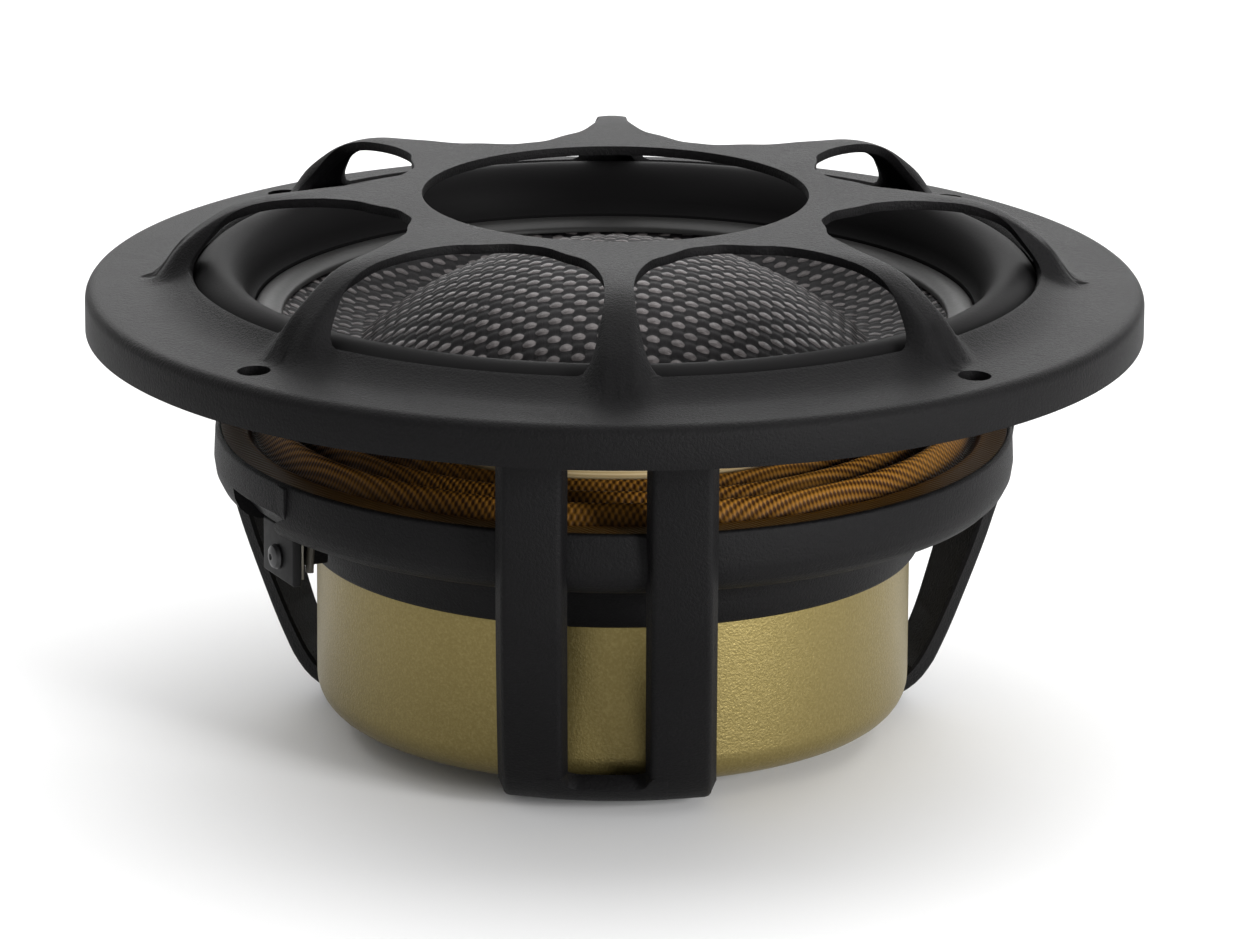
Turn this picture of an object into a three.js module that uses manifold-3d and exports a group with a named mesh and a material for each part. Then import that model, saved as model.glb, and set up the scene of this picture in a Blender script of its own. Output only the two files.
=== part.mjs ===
// A 170 mm bass driver for a car door, built as it comes apart on a bench.
// Millimetres, +Z up along the axis of the cone, origin on the axis at the underside of the base.
// The driver stands on the base of its basket. Azimuth 0 is -Y, and azimuths grow towards +X.
import * as THREE from 'three';
import { mergeVertices } from 'three/addons/utils/BufferGeometryUtils.js';
import Module from 'manifold-3d';

// ---- driving dimensions -------------------------------------------------------------------
const GAP = 0.3; // clearance between pieces that touch
const FACETS = 48; // sides of a large turned face
const SMALL_FACETS = 16; // sides of a screw or rivet

// heights above the base
const FLANGE_Z = 67; // mounting face, the underside of the basket's flange
const SEAT_Z = FLANGE_Z - 16; // landing ring, where the spider sits

// grille casting
const RIM_R = 85; // outside of the trim ring
const RIM_HEIGHT = 7.3; // trim ring, from the mounting face to its flat top
const RIM_WALL = 2.6; // skirt and top of the trim ring
const LIP_R = 68.5; // inner edge of the trim ring
const LIP_HEIGHT = 10; // inner edge above the mounting face
const HUB_R = 31; // central opening
const HUB_HEIGHT = 21.6; // hub plate above the mounting face
const GRILLE_WALL = 1.7; // hub plate and spokes
const SPOKES = 8;
const GRILLE_CLOCK = 0.7; // degrees that the grille is turned against azimuth 0
const SPOKE_HALF = 2.4; // half the width of a spoke at its waist
const SPOKE_WAIST_R = 56; // radius of the waist
const SPOKE_FOOT_HALF = 4; // half the width of a spoke above the lip
const PETAL_R = 36.2; // inner end of each opening
const SCREW_CIRCLE_R = RIM_R - 6.5; // four mounting holes
const SCREW_HOLE_R = 2.6;
const SCREW_HOLES = 4;

// basket casting
const FLANGE_R = RIM_R - RIM_WALL - GAP;
const FLANGE_INNER_R = 65.6;
const FLANGE_THICK = 3;
const RING_R = 64.3; // landing ring
const RING_WALL = 4;
const LEG_PAIRS = 3;
const LEG_CLOCK = -0.85; // degrees that the basket is turned against azimuth 0
const LEG_WIDTH = 10.8;
const LEG_GAP = 12.4; // between the two legs of a pair
const LEG_THICK = 3.2;
const BRIDGE_Z = 5.2; // top of the plate that joins the feet of a pair
const BASE_THICK = 3.3;
const BASE_R = 28.5; // base plate between the leg pairs
const BASE_HOLE_R = 13;

// motor
const FORMER_R = 38; // inside of the coil former
const POLE_R = FORMER_R - 0.8;
const POLE_THICK = 8;
const MAGNET_R = POLE_R - 4.7;
const MAGNET_HEIGHT = 15;
const CAN_BORE_R = FORMER_R + 2.5;
const CAN_R = CAN_BORE_R + 7.5;
const CAN_FLOOR = 6.4;
const CAN_EDGE = 5.5; // rounded lower edge
const CAN_ABOVE_POLE = 3.4; // top of the can above the pole plate
const VENT_R = 8;
const FRONT_MAGNET_HEIGHT = 5;
const SHORTING_WALL = 2;
const MOTOR_SCREWS = 3;
const MOTOR_SCREW_CIRCLE_R = 21.5;
const MOTOR_SCREW_R = 2;
const MOTOR_SCREW_HEAD_R = 3.8;
const MOTOR_SCREW_HEAD = 1.6;
const MOTOR_SCREW_REACH = 7.5; // tip above the base

// moving assembly
const FORMER_WALL = 0.5;
const COIL_WALL = 0.9;
const COIL_HEIGHT = 13;
const DOME_R = FORMER_R + 2; // foot of the dome
const DOME_HEIGHT = 15.2;
const DOME_STEP = 0.6; // foot of the dome above the valley
const VALLEY_R = DOME_R + 2;
const VALLEY_DROP = 3; // valley below the mounting face
const CONE_WALL = 1;
const CLOTH_R = 53.4; // edge of the bare cloth
const CONE_R = 58.6; // outer edge of the diaphragm
const EDGE_RING_WALL = 0.9;
const ROLL_R = 63.9; // crest of the surround
const ROLL_HALF = 5.2;
const ROLL_HEIGHT = 7.8;
const ROLL_WALL = 0.9;
const ROLL_FOOT_Z = 3; // inner foot of the roll above the mounting face
const SURROUND_R = 74.5; // outer edge of the surround, under the trim ring
const SPIDER_WALL = 0.7;
const SPIDER_WAVES = 3;
const SPIDER_WAVE = 1.6; // half height of a corrugation

// terminals
const TERMINAL_AZIMUTH = -64; // degrees
const BOARD_WIDTH = 12;
const BOARD_HEIGHT = 9;
const BOARD_THICK = 1.6;
const BOARD_R = RING_R - 6.7; // inner face
const BOARD_Z = SEAT_Z - 19.35; // lower edge
const BOARD_NOTCH = 2.1; // depth of the notch behind the board
const PAD_TOP = SEAT_Z - 0.6; // flat pad on the landing ring, above the board
const PAD_LOW = SEAT_Z - 5.3;
const PAD_FACE = RING_R - 0.7;
const PAD_WIDTH = 21.6;
const PAD_ASIDE = 1.8;
const RIVET_POST_WIDTH = 3.4; // cast post behind the board, between the tabs
const RIVET_R = 1.2;
const RIVET_LENGTH = 6;
const RIVET_HEIGHT = 3.7; // above the board's lower edge
const TAB_THICK = 0.8;
const TAB_LENGTH = 8;
const TAB_OFFSET = 3.1; // from the middle of the board
const TAB_RISE = 0.5; // above the board's lower edge
const POSITIVE_TAB_WIDTH = 2.2;
const NEGATIVE_TAB_WIDTH = 2;
const LEAD_R = 0.7;

// ---- helpers --------------------------------------------------------------------------------
const wasm = await Module();
wasm.setup();
const speaker = new THREE.Group();
const degrees = THREE.MathUtils.degToRad;

/** The direction of an azimuth, in plan. */
function heading(azimuth) {
  return new THREE.Vector2(Math.sin(degrees(azimuth)), -Math.cos(degrees(azimuth)));
}

/** A manifold solid from a closed three.js geometry. */
function solid(geometry) {
  const bare = geometry.clone();
  bare.deleteAttribute('normal');
  bare.deleteAttribute('uv');
  const merged = mergeVertices(bare, 1e-4);
  return new wasm.Manifold(new wasm.Mesh({
    numProp: 3,
    vertProperties: new Float32Array(merged.attributes.position.array),
    triVerts: new Uint32Array(merged.index.array),
  }));
}

/** Adds a solid to the assembly as a named mesh. */
function place(name, body, material) {
  const found = body.getMesh();
  const geometry = new THREE.BufferGeometry();
  geometry.setAttribute('position', new THREE.BufferAttribute(found.vertProperties, 3));
  geometry.setIndex(new THREE.BufferAttribute(found.triVerts, 1));
  geometry.computeVertexNormals();
  const piece = new THREE.Mesh(geometry, material);
  piece.name = name;
  speaker.add(piece);
}

/** A solid turned about Z from a closed outline of [radius, height] points. */
function turned(outline, facets = FACETS) {
  const points = outline.map(([radius, height]) => new THREE.Vector2(radius, height));
  if (outline[0][0] > 0) points.push(points[0].clone());
  const geometry = new THREE.LatheGeometry(points, facets);
  geometry.rotateX(Math.PI / 2);
  const body = solid(geometry);
  if (body.volume() > 0) return body;
  points.reverse();
  const flipped = new THREE.LatheGeometry(points, facets);
  flipped.rotateX(Math.PI / 2);
  return solid(flipped);
}

/** A turned ring with square corners. */
function ring(inner, outer, low, high, facets = FACETS) {
  return turned([[inner, low], [outer, low], [outer, high], [inner, high]], facets);
}

/** A plan shape raised from low to high. */
function raised(shape, low, high, curveSegments = 8) {
  const geometry = new THREE.ExtrudeGeometry(shape, { depth: high - low, bevelEnabled: false, curveSegments });
  geometry.translate(0, 0, low);
  return solid(geometry);
}

/** A box whose depth runs outwards from inner to outer at an azimuth. */
function radialBox(azimuth, inner, outer, width, low, high, sideways = 0) {
  const geometry = new THREE.BoxGeometry(width, outer - inner, high - low);
  geometry.translate(sideways, -(inner + outer) / 2, (low + high) / 2);
  geometry.rotateZ(degrees(azimuth));
  return solid(geometry);
}

/** An upright cylinder at a radius and azimuth. */
function post(azimuth, circle, radius, low, high, facets = SMALL_FACETS) {
  const geometry = new THREE.CylinderGeometry(radius, radius, high - low, facets);
  geometry.rotateX(Math.PI / 2);
  const at = heading(azimuth).multiplyScalar(circle);
  geometry.translate(at.x, at.y, (low + high) / 2);
  return solid(geometry);
}

/** Evenly spaced azimuths, starting at first. */
function around(count, first = 0) {
  return Array.from({ length: count }, (_, i) => first + (360 * i) / count);
}

function paint(color, roughness, metalness) {
  return new THREE.MeshStandardMaterial({ color, roughness, metalness });
}

const blackCasting = paint(0x26272a, 0.55, 0.3);
const rubber = paint(0x1b1b1d, 0.6, 0);
const cloth = paint(0x55565a, 0.35, 0.1);
const gold = paint(0xb9ad74, 0.4, 0.9);
const amberCloth = paint(0xb5832f, 0.7, 0);
const fibreTube = paint(0xd6c48c, 0.45, 0);
const copper = paint(0xb66a3c, 0.35, 0.9);
const steel = paint(0x9a9da1, 0.35, 0.9);
const ferrite = paint(0x3b3b3e, 0.7, 0.2);
const board = paint(0x202124, 0.6, 0);
const tinned = paint(0xc4c2b8, 0.4, 0.8);

// ---- grille: trim ring, hub plate and spokes in one casting -------------------------------
const rimTop = FLANGE_Z + RIM_HEIGHT;
const hubTop = FLANGE_Z + HUB_HEIGHT;
const lipTop = FLANGE_Z + LIP_HEIGHT;

/** The outside of the hub plate and spokes, as a curve from the hub down to the trim ring. */
function crown(inset) {
  const shoulderR = (SPOKE_WAIST_R + LIP_R) / 2;
  const curve = new THREE.CubicBezierCurve(
    new THREE.Vector2(SPOKE_WAIST_R - 3, hubTop - 1.1 - inset),
    new THREE.Vector2(shoulderR + 1.5, hubTop - 2.6 - inset),
    new THREE.Vector2(LIP_R - 1.5 - inset * 0.9, hubTop - 5.5 - inset * 0.4),
    new THREE.Vector2(LIP_R + 5.5 - inset * 2, lipTop - 0.8),
  );
  const points = curve.getPoints(7).map((p) => [p.x, p.y]);
  return [[HUB_R, hubTop - inset], [(HUB_R + SPOKE_WAIST_R) / 2, hubTop - 0.3 - inset], ...points];
}

/** Half the outline of an opening, from its inner end to its outer edge, beside the spoke. */
function openingHalf(side) {
  const half = 180 / SPOKES;
  const along = heading(half * side);
  const across = new THREE.Vector2(along.y, -along.x).multiplyScalar(side);
  const beside = (radius, offset) => along.clone().multiplyScalar(radius).addScaledVector(across, offset);
  return {
    waist: beside(SPOKE_WAIST_R, SPOKE_HALF),
    waistPull: beside(SPOKE_WAIST_R - 13, SPOKE_HALF),
    innerPull: new THREE.Vector2(side * 8.5, -PETAL_R),
    foot: beside(LIP_R, SPOKE_FOOT_HALF),
    footPull: beside((SPOKE_WAIST_R + LIP_R) / 2, SPOKE_HALF),
    flare: beside(LIP_R + 3, SPOKE_FOOT_HALF + 1.2),
    out: beside(RIM_R + 5, SPOKE_FOOT_HALF + 12),
  };
}

function openingShape() {
  const right = openingHalf(1);
  const left = openingHalf(-1);
  const shape = new THREE.Shape();
  shape.moveTo(0, -PETAL_R);
  shape.bezierCurveTo(right.innerPull.x, right.innerPull.y, right.waistPull.x, right.waistPull.y,
    right.waist.x, right.waist.y);
  shape.quadraticCurveTo(right.footPull.x, right.footPull.y, right.foot.x, right.foot.y);
  shape.lineTo(right.flare.x, right.flare.y);
  shape.lineTo(right.out.x, right.out.y);
  shape.lineTo(left.out.x, left.out.y);
  shape.lineTo(left.flare.x, left.flare.y);
  shape.lineTo(left.foot.x, left.foot.y);
  shape.quadraticCurveTo(left.footPull.x, left.footPull.y, left.waist.x, left.waist.y);
  shape.bezierCurveTo(left.waistPull.x, left.waistPull.y, left.innerPull.x, left.innerPull.y,
    0, -PETAL_R);
  return shape;
}

function makeGrille() {
  const outside = crown(0);
  const inside = crown(GRILLE_WALL).reverse();
  let spokes = turned([...outside, [LIP_R + 5, rimTop - 1], [LIP_R + 1.5, rimTop - 1], ...inside]);
  const opening = raised(openingShape(), FLANGE_Z, hubTop + 2, 6);
  for (const azimuth of around(SPOKES, 180 / SPOKES + GRILLE_CLOCK)) {
    spokes = spokes.subtract(opening.rotate([0, 0, azimuth]));
  }
  const underside = rimTop - RIM_WALL - 0.2;
  let trim = turned([
    [LIP_R, lipTop - 1.6], [LIP_R, lipTop - 0.3], [LIP_R + 0.4, lipTop], [LIP_R + 2, lipTop - 1.1],
    [LIP_R + 4.5, rimTop + 0.4], [LIP_R + 7, rimTop], [RIM_R - 2.5, rimTop - 0.4],
    [RIM_R - 0.8, rimTop - 1.1], [RIM_R, rimTop - 2.5], [RIM_R, FLANGE_Z],
    [RIM_R - RIM_WALL, FLANGE_Z], [RIM_R - RIM_WALL, underside],
    [LIP_R + 6.5, underside], [LIP_R + 2.5, underside + 0.8], [LIP_R + 1.2, lipTop - 3],
  ]);
  for (const azimuth of around(SCREW_HOLES, 45)) {
    trim = trim.subtract(post(azimuth, SCREW_CIRCLE_R, SCREW_HOLE_R, FLANGE_Z, rimTop + 2));
  }
  return trim.add(spokes);
}

// ---- basket: flange, landing ring, neck, legs and base in one casting ---------------------
const canBottom = BASE_THICK + GAP;
const canFloorTop = canBottom + CAN_FLOOR;
const poleLow = canFloorTop + GAP + MAGNET_HEIGHT + GAP;
const poleHigh = poleLow + POLE_THICK;
const canTop = poleHigh + CAN_ABOVE_POLE;
const neckZ = canTop - 6; // lower edge of the neck round the can

/** The outside of a leg, from the flange down and in under the can, as [share, height] points. */
const legOutside = [
  [1.23, FLANGE_Z + 1], [1.18, SEAT_Z + 4], [1.12, SEAT_Z - 6], [1.02, SEAT_Z * 0.706],
  [0.88, SEAT_Z * 0.578], [0.755, SEAT_Z * 0.461], [0.565, SEAT_Z * 0.267], [0.425, SEAT_Z * 0.165],
  [0.32, SEAT_Z * 0.114], [0.185, SEAT_Z * 0.071], [0, SEAT_Z * 0.042], [-0.245, SEAT_Z * 0.021],
  [-0.5, SEAT_Z * 0.005], [-0.7, 0],
].map(([share, height]) => [CAN_R + share * (RING_R - CAN_R), height]);

/** The inside of a leg: the outside moved in by the thickness, square to the curve. */
function legInside() {
  const floor = BASE_THICK;
  return legOutside.map(([radius, height], i) => {
    const before = legOutside[Math.max(i - 1, 0)];
    const after = legOutside[Math.min(i + 1, legOutside.length - 1)];
    const along = new THREE.Vector2(after[0] - before[0], after[1] - before[1]).normalize();
    const inner = [radius + along.y * LEG_THICK, height - along.x * LEG_THICK];
    const underCan = floor + Math.max(radius - (CAN_R - 4), 0) * 0.35; // follows the can's rounded edge
    return radius < CAN_R + 1 ? [radius, underCan] : [inner[0], Math.max(inner[1], floor)];
  });
}

/** A slab of any width with an outline of [radius, height] points, at an azimuth. */
function slab(outline, azimuth, width, sideways = 0) {
  const shape = new THREE.Shape();
  outline.forEach(([radius, height], i) => {
    if (i === 0) shape.moveTo(radius, height);
    else shape.lineTo(radius, height);
  });
  const geometry = new THREE.ExtrudeGeometry(shape, { depth: width, bevelEnabled: false });
  geometry.translate(0, 0, sideways - width / 2);
  geometry.rotateX(Math.PI / 2);
  geometry.rotateZ(degrees(azimuth) - Math.PI / 2);
  return solid(geometry);
}

/** A leg-shaped slab, from near the axis out. */
function legSlab(azimuth, width, sideways = 0) {
  const edge = [...legOutside, [BASE_HOLE_R + 6, 0], [BASE_HOLE_R + 6, BASE_THICK]];
  return slab([...edge, ...legInside().reverse()], azimuth, width, sideways);
}

/** The pad over the terminal board, and the notch under it that the board stands in. */
function addTerminalSeat(basket) {
  const boardTop = BOARD_Z + BOARD_HEIGHT + GAP;
  const boardFace = BOARD_R + BOARD_THICK + GAP;
  const clear = BOARD_WIDTH + 2 * GAP;
  const root = RING_R - RING_WALL + GAP;
  const pad = slab([[root, PAD_TOP], [PAD_FACE, PAD_TOP], [PAD_FACE, PAD_LOW], [root, PAD_LOW]],
    TERMINAL_AZIMUTH, PAD_WIDTH, PAD_ASIDE);
  const notch = slab([[BOARD_R - BOARD_NOTCH, BOARD_Z - 3], [RIM_R, BOARD_Z - 3], [RIM_R, PAD_LOW],
    [PAD_FACE, PAD_LOW], [boardFace, boardTop], [BOARD_R - BOARD_NOTCH, boardTop]],
  TERMINAL_AZIMUTH, clear);
  return basket.add(pad).subtract(notch);
}

function makeBasket() {
  const flangeTop = FLANGE_Z + FLANGE_THICK;
  const ringInner = RING_R - RING_WALL;
  let basket = ring(FLANGE_INNER_R, FLANGE_R, FLANGE_Z, flangeTop);
  basket = basket.add(turned([
    [RING_R, SEAT_Z], [RING_R + 0.2, SEAT_Z - 5], [RING_R - 0.1, SEAT_Z - 7],
    [RING_R - 0.9, SEAT_Z - 8.6], [RING_R - 2.2, SEAT_Z - 9.8], [RING_R - 4, SEAT_Z - 10.6],
    [CAN_R + 6, SEAT_Z - 11.6], [CAN_R + 4, SEAT_Z - 12.4], [CAN_R + 2.8, SEAT_Z - 14],
    [CAN_R + 2.2, neckZ + 3.5], [CAN_R + 1.2, neckZ],
    [CAN_R + GAP, neckZ], [CAN_R + GAP, neckZ + 7], [CAN_R + 1.5, SEAT_Z - 11],
    [CAN_R + 4, SEAT_Z - 9.2], [ringInner - 1, SEAT_Z - 8], [ringInner, SEAT_Z - 6.6], [ringInner, SEAT_Z],
  ]));
  basket = basket.add(ring(BASE_HOLE_R, BASE_R, 0, BASE_THICK));
  const outwards = (LEG_GAP + LEG_WIDTH) / 2;
  const window = radialBox(0, BASE_R, RIM_R, LEG_GAP, BRIDGE_Z, FLANGE_Z);
  for (const azimuth of around(LEG_PAIRS, LEG_CLOCK)) {
    for (const side of [-1, 1]) {
      basket = basket.add(legSlab(azimuth, LEG_WIDTH, side * outwards));
    }
    const bridge = legSlab(azimuth, LEG_GAP + LEG_WIDTH).subtract(window.rotate([0, 0, azimuth]));
    basket = basket.add(bridge);
  }
  basket = addTerminalSeat(basket);
  const rivetZ = BOARD_Z + RIVET_HEIGHT;
  basket = basket.add(radialBox(TERMINAL_AZIMUTH, BOARD_R - RIVET_LENGTH, BOARD_R - GAP, RIVET_POST_WIDTH,
    rivetZ - RIVET_POST_WIDTH / 2, SEAT_Z - 9));
  basket = basket.subtract(rivetBody(GAP / 2));
  for (const azimuth of around(SCREW_HOLES, 45)) {
    basket = basket.subtract(post(azimuth, SCREW_CIRCLE_R, SCREW_HOLE_R, FLANGE_Z - 1, flangeTop + 1));
  }
  for (const azimuth of around(MOTOR_SCREWS, 60)) {
    const at = MOTOR_SCREW_CIRCLE_R;
    basket = basket.subtract(post(azimuth, at, MOTOR_SCREW_HEAD_R + GAP, -1, MOTOR_SCREW_HEAD + GAP * 2));
    basket = basket.subtract(post(azimuth, at, MOTOR_SCREW_R + GAP, -1, BASE_THICK + 1));
  }
  for (const side of [-1, 1]) basket = basket.subtract(leadTube(side, LEAD_R + GAP));
  return basket;
}

// ---- motor ------------------------------------------------------------------------------

function makeMotor() {
  const edge = Array.from({ length: 5 }, (_, i) => {
    const angle = (Math.PI / 2) * (i / 4);
    return [CAN_R - CAN_EDGE + CAN_EDGE * Math.sin(angle), canBottom + CAN_EDGE * (1 - Math.cos(angle))];
  });
  let can = turned([
    [VENT_R, canBottom], ...edge, [CAN_R, canTop - 0.6], [CAN_R - 0.6, canTop],
    [CAN_BORE_R, canTop], [CAN_BORE_R, canFloorTop], [VENT_R, canFloorTop],
  ]);
  for (const azimuth of around(MOTOR_SCREWS, 60)) {
    can = can.subtract(post(azimuth, MOTOR_SCREW_CIRCLE_R, MOTOR_SCREW_R + GAP, 0, MOTOR_SCREW_REACH + GAP));
  }
  place('motor_can', can, gold);
  const magnetLow = canFloorTop + GAP;
  place('main_magnet', ring(VENT_R, MAGNET_R, magnetLow, magnetLow + MAGNET_HEIGHT), ferrite);
  const sleeve = MAGNET_R + GAP;
  place('shorting_ring', ring(sleeve, sleeve + SHORTING_WALL, magnetLow, poleLow - 2 * GAP), copper);
  place('pole_plate', ring(VENT_R, POLE_R, poleLow, poleHigh), steel);
  const frontLow = poleHigh + GAP;
  place('front_magnet', ring(VENT_R, MAGNET_R - 2, frontLow, frontLow + FRONT_MAGNET_HEIGHT), steel);
  const screenLow = canBottom + 1;
  place('vent_screen', ring(1, VENT_R - GAP, screenLow, screenLow + 1, 24), tinned);
  around(MOTOR_SCREWS, 60).forEach((azimuth, i) => {
    const at = MOTOR_SCREW_CIRCLE_R;
    const head = post(azimuth, at, MOTOR_SCREW_HEAD_R, GAP, GAP + MOTOR_SCREW_HEAD);
    const shank = post(azimuth, at, MOTOR_SCREW_R, GAP + MOTOR_SCREW_HEAD / 2, MOTOR_SCREW_REACH);
    place(`motor_screw_${i + 1}`, head.add(shank), steel);
  });
}

// ---- moving assembly ----------------------------------------------------------------------
const valleyZ = FLANGE_Z - VALLEY_DROP;

/** Height of the dome's outer skin at a radius. */
function domeHeight(radius) {
  const sphere = (DOME_R ** 2 + DOME_HEIGHT ** 2) / (2 * DOME_HEIGHT);
  return valleyZ + DOME_STEP + DOME_HEIGHT - sphere + Math.sqrt(sphere ** 2 - radius ** 2);
}

/** Points over the dome from its foot to the axis, at a drop below the outer skin. */
function domeArc(drop, count = 6) {
  return Array.from({ length: count + 1 }, (_, i) => {
    const radius = DOME_R * (1 - i / count);
    return [radius, domeHeight(radius) - drop];
  });
}

function makeDiaphragm() {
  const edgeZ = FLANGE_Z + 1;
  const top = [[CONE_R, edgeZ + 1], [CLOTH_R, edgeZ], [(VALLEY_R + CLOTH_R) / 2, edgeZ - 2.8],
    [VALLEY_R + 1.5, valleyZ + 0.1]];
  const bottom = top.map(([radius, height]) => [radius, height - CONE_WALL]).reverse();
  return turned([...domeArc(CONE_WALL).reverse(), ...bottom, ...top, ...domeArc(0)].map(
    ([radius, height]) => [Math.max(radius, 0), height],
  ));
}

function makeEdgeRing() {
  const low = FLANGE_Z + 1 + GAP;
  const inner = [CLOTH_R, low];
  const outer = [CONE_R - 0.9, low + 0.8];
  return turned([inner, outer, [outer[0], outer[1] + EDGE_RING_WALL], [inner[0], inner[1] + EDGE_RING_WALL - 0.3]]);
}

/** The roll of the surround, a half ellipse above its feet. */
function roll(inset, count = 8) {
  return Array.from({ length: count + 1 }, (_, i) => {
    const angle = Math.PI * (1 - i / count);
    return [
      ROLL_R + (ROLL_HALF - inset) * Math.cos(angle),
      FLANGE_Z + ROLL_FOOT_Z + (ROLL_HEIGHT - inset) * Math.sin(angle),
    ];
  });
}

function makeSurround() {
  const footZ = FLANGE_Z + FLANGE_THICK + GAP;
  return turned([
    [CONE_R - 0.6, footZ], ...roll(0), [SURROUND_R, footZ + ROLL_WALL], [SURROUND_R, footZ],
    [ROLL_R + ROLL_HALF - 0.1, footZ], ...roll(ROLL_WALL).reverse().slice(1), [CONE_R - 0.6, footZ - ROLL_WALL],
  ]);
}

/** One skin of the spider's cloth: a flat land at the former, waves, and a flat land on the seat. */
function spiderLine(offset) {
  const inner = FORMER_R + FORMER_WALL + GAP;
  const outer = RING_R - 1;
  const lie = SEAT_Z + GAP + offset;
  const wavesFrom = inner + 1.5;
  const wavesTo = RING_R - RING_WALL - 0.5;
  const steps = SPIDER_WAVES * 4;
  const waves = Array.from({ length: steps + 1 }, (_, i) => {
    const share = i / steps;
    const wave = SPIDER_WAVE * Math.sin(share * SPIDER_WAVES * 2 * Math.PI);
    return [wavesFrom + (wavesTo - wavesFrom) * share, lie + wave];
  });
  return [[inner, lie], ...waves, [outer, lie]];
}

function makeSpider() {
  return turned([...spiderLine(0), ...spiderLine(SPIDER_WALL).reverse()]);
}

// ---- terminals ----------------------------------------------------------------------------
/** A rivet through the board into the basket's boss, grown by a clearance. */
function rivetBody(grow) {
  const face = BOARD_R + BOARD_THICK + GAP;
  const shank = new THREE.CylinderGeometry(RIVET_R + grow, RIVET_R + grow, RIVET_LENGTH, SMALL_FACETS);
  const head = new THREE.CylinderGeometry(RIVET_R * 1.7, RIVET_R * 1.7, RIVET_R, SMALL_FACETS);
  shank.translate(0, RIVET_LENGTH / 2 - face - RIVET_R / 2, 0);
  head.translate(0, -(face + RIVET_R / 2), 0);
  return [shank, head].map((geometry) => {
    geometry.translate(0, 0, BOARD_Z + RIVET_HEIGHT);
    geometry.rotateZ(degrees(TERMINAL_AZIMUTH));
    return solid(geometry);
  }).reduce((whole, part) => whole.add(part));
}

function tab(side, width) {
  const inner = BOARD_R - GAP - TAB_THICK;
  return radialBox(TERMINAL_AZIMUTH, inner, inner + TAB_THICK, width,
    BOARD_Z + TAB_RISE, BOARD_Z + TAB_RISE + TAB_LENGTH, side * TAB_OFFSET);
}

/** A flexible lead, from the former, under the spider and down through the neck to its tab. */
function leadTube(side, radius) {
  const azimuth = TERMINAL_AZIMUTH + side * 3.2;
  const out = heading(azimuth);
  const inner = FORMER_R + FORMER_WALL + GAP + LEAD_R;
  const route = [
    [inner, SEAT_Z - 6], [inner + 4.5, SEAT_Z - 7.5], [inner + 9, SEAT_Z - 6.2],
    [BOARD_R - 5.2, SEAT_Z - 7.6], [BOARD_R - 3.2, SEAT_Z - 11], [BOARD_R - 2.6, SEAT_Z - 14.5],
    [BOARD_R - 2.4, SEAT_Z - 18],
  ].map(([r, z]) => new THREE.Vector3(out.x * r, out.y * r, z));
  const section = new THREE.Shape();
  section.absarc(0, 0, radius, 0, 2 * Math.PI);
  const path = new THREE.CatmullRomCurve3(route);
  return solid(new THREE.ExtrudeGeometry(section, { steps: 18, curveSegments: 4, extrudePath: path }));
}

// ---- assembly -----------------------------------------------------------------------------
place('grille', makeGrille(), blackCasting);
place('basket', makeBasket(), blackCasting);
makeMotor();
place('surround', makeSurround(), rubber);
place('edge_ring', makeEdgeRing(), rubber);
place('diaphragm', makeDiaphragm(), cloth);
const coilLow = poleLow + POLE_THICK / 2 - COIL_HEIGHT / 2;
const formerTop = domeHeight(FORMER_R + FORMER_WALL) - CONE_WALL - 2 * GAP;
place('coil_former', ring(FORMER_R, FORMER_R + FORMER_WALL, coilLow, formerTop),
  fibreTube);
const coilInner = FORMER_R + FORMER_WALL + GAP / 2;
place('voice_coil', ring(coilInner, coilInner + COIL_WALL, coilLow, coilLow + COIL_HEIGHT), copper);
place('spider', makeSpider(), amberCloth);
let terminalBoard = radialBox(TERMINAL_AZIMUTH, BOARD_R, BOARD_R + BOARD_THICK, BOARD_WIDTH,
  BOARD_Z, BOARD_Z + BOARD_HEIGHT);
terminalBoard = terminalBoard.subtract(rivetBody(GAP / 2));
place('terminal_board', terminalBoard, board);
place('terminal_rivet', rivetBody(0), tinned);
place('terminal_positive', tab(-1, POSITIVE_TAB_WIDTH), tinned);
place('terminal_negative', tab(1, NEGATIVE_TAB_WIDTH), tinned);
place('lead_positive', leadTube(-1, LEAD_R), tinned);
place('lead_negative', leadTube(1, LEAD_R), tinned);

export default speaker;
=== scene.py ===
# %% [markdown]
# # A mid-bass car speaker, piece by piece
# The driver stands on the base of its basket. The imported model gives every place and size, in
# metres, so it is loaded first and nothing in this lesson moves it. The finished pieces have to
# stay inside it.

# %% Load the frame
import math

import bpy
import numpy as np
from mathutils import Matrix, Vector


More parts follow.
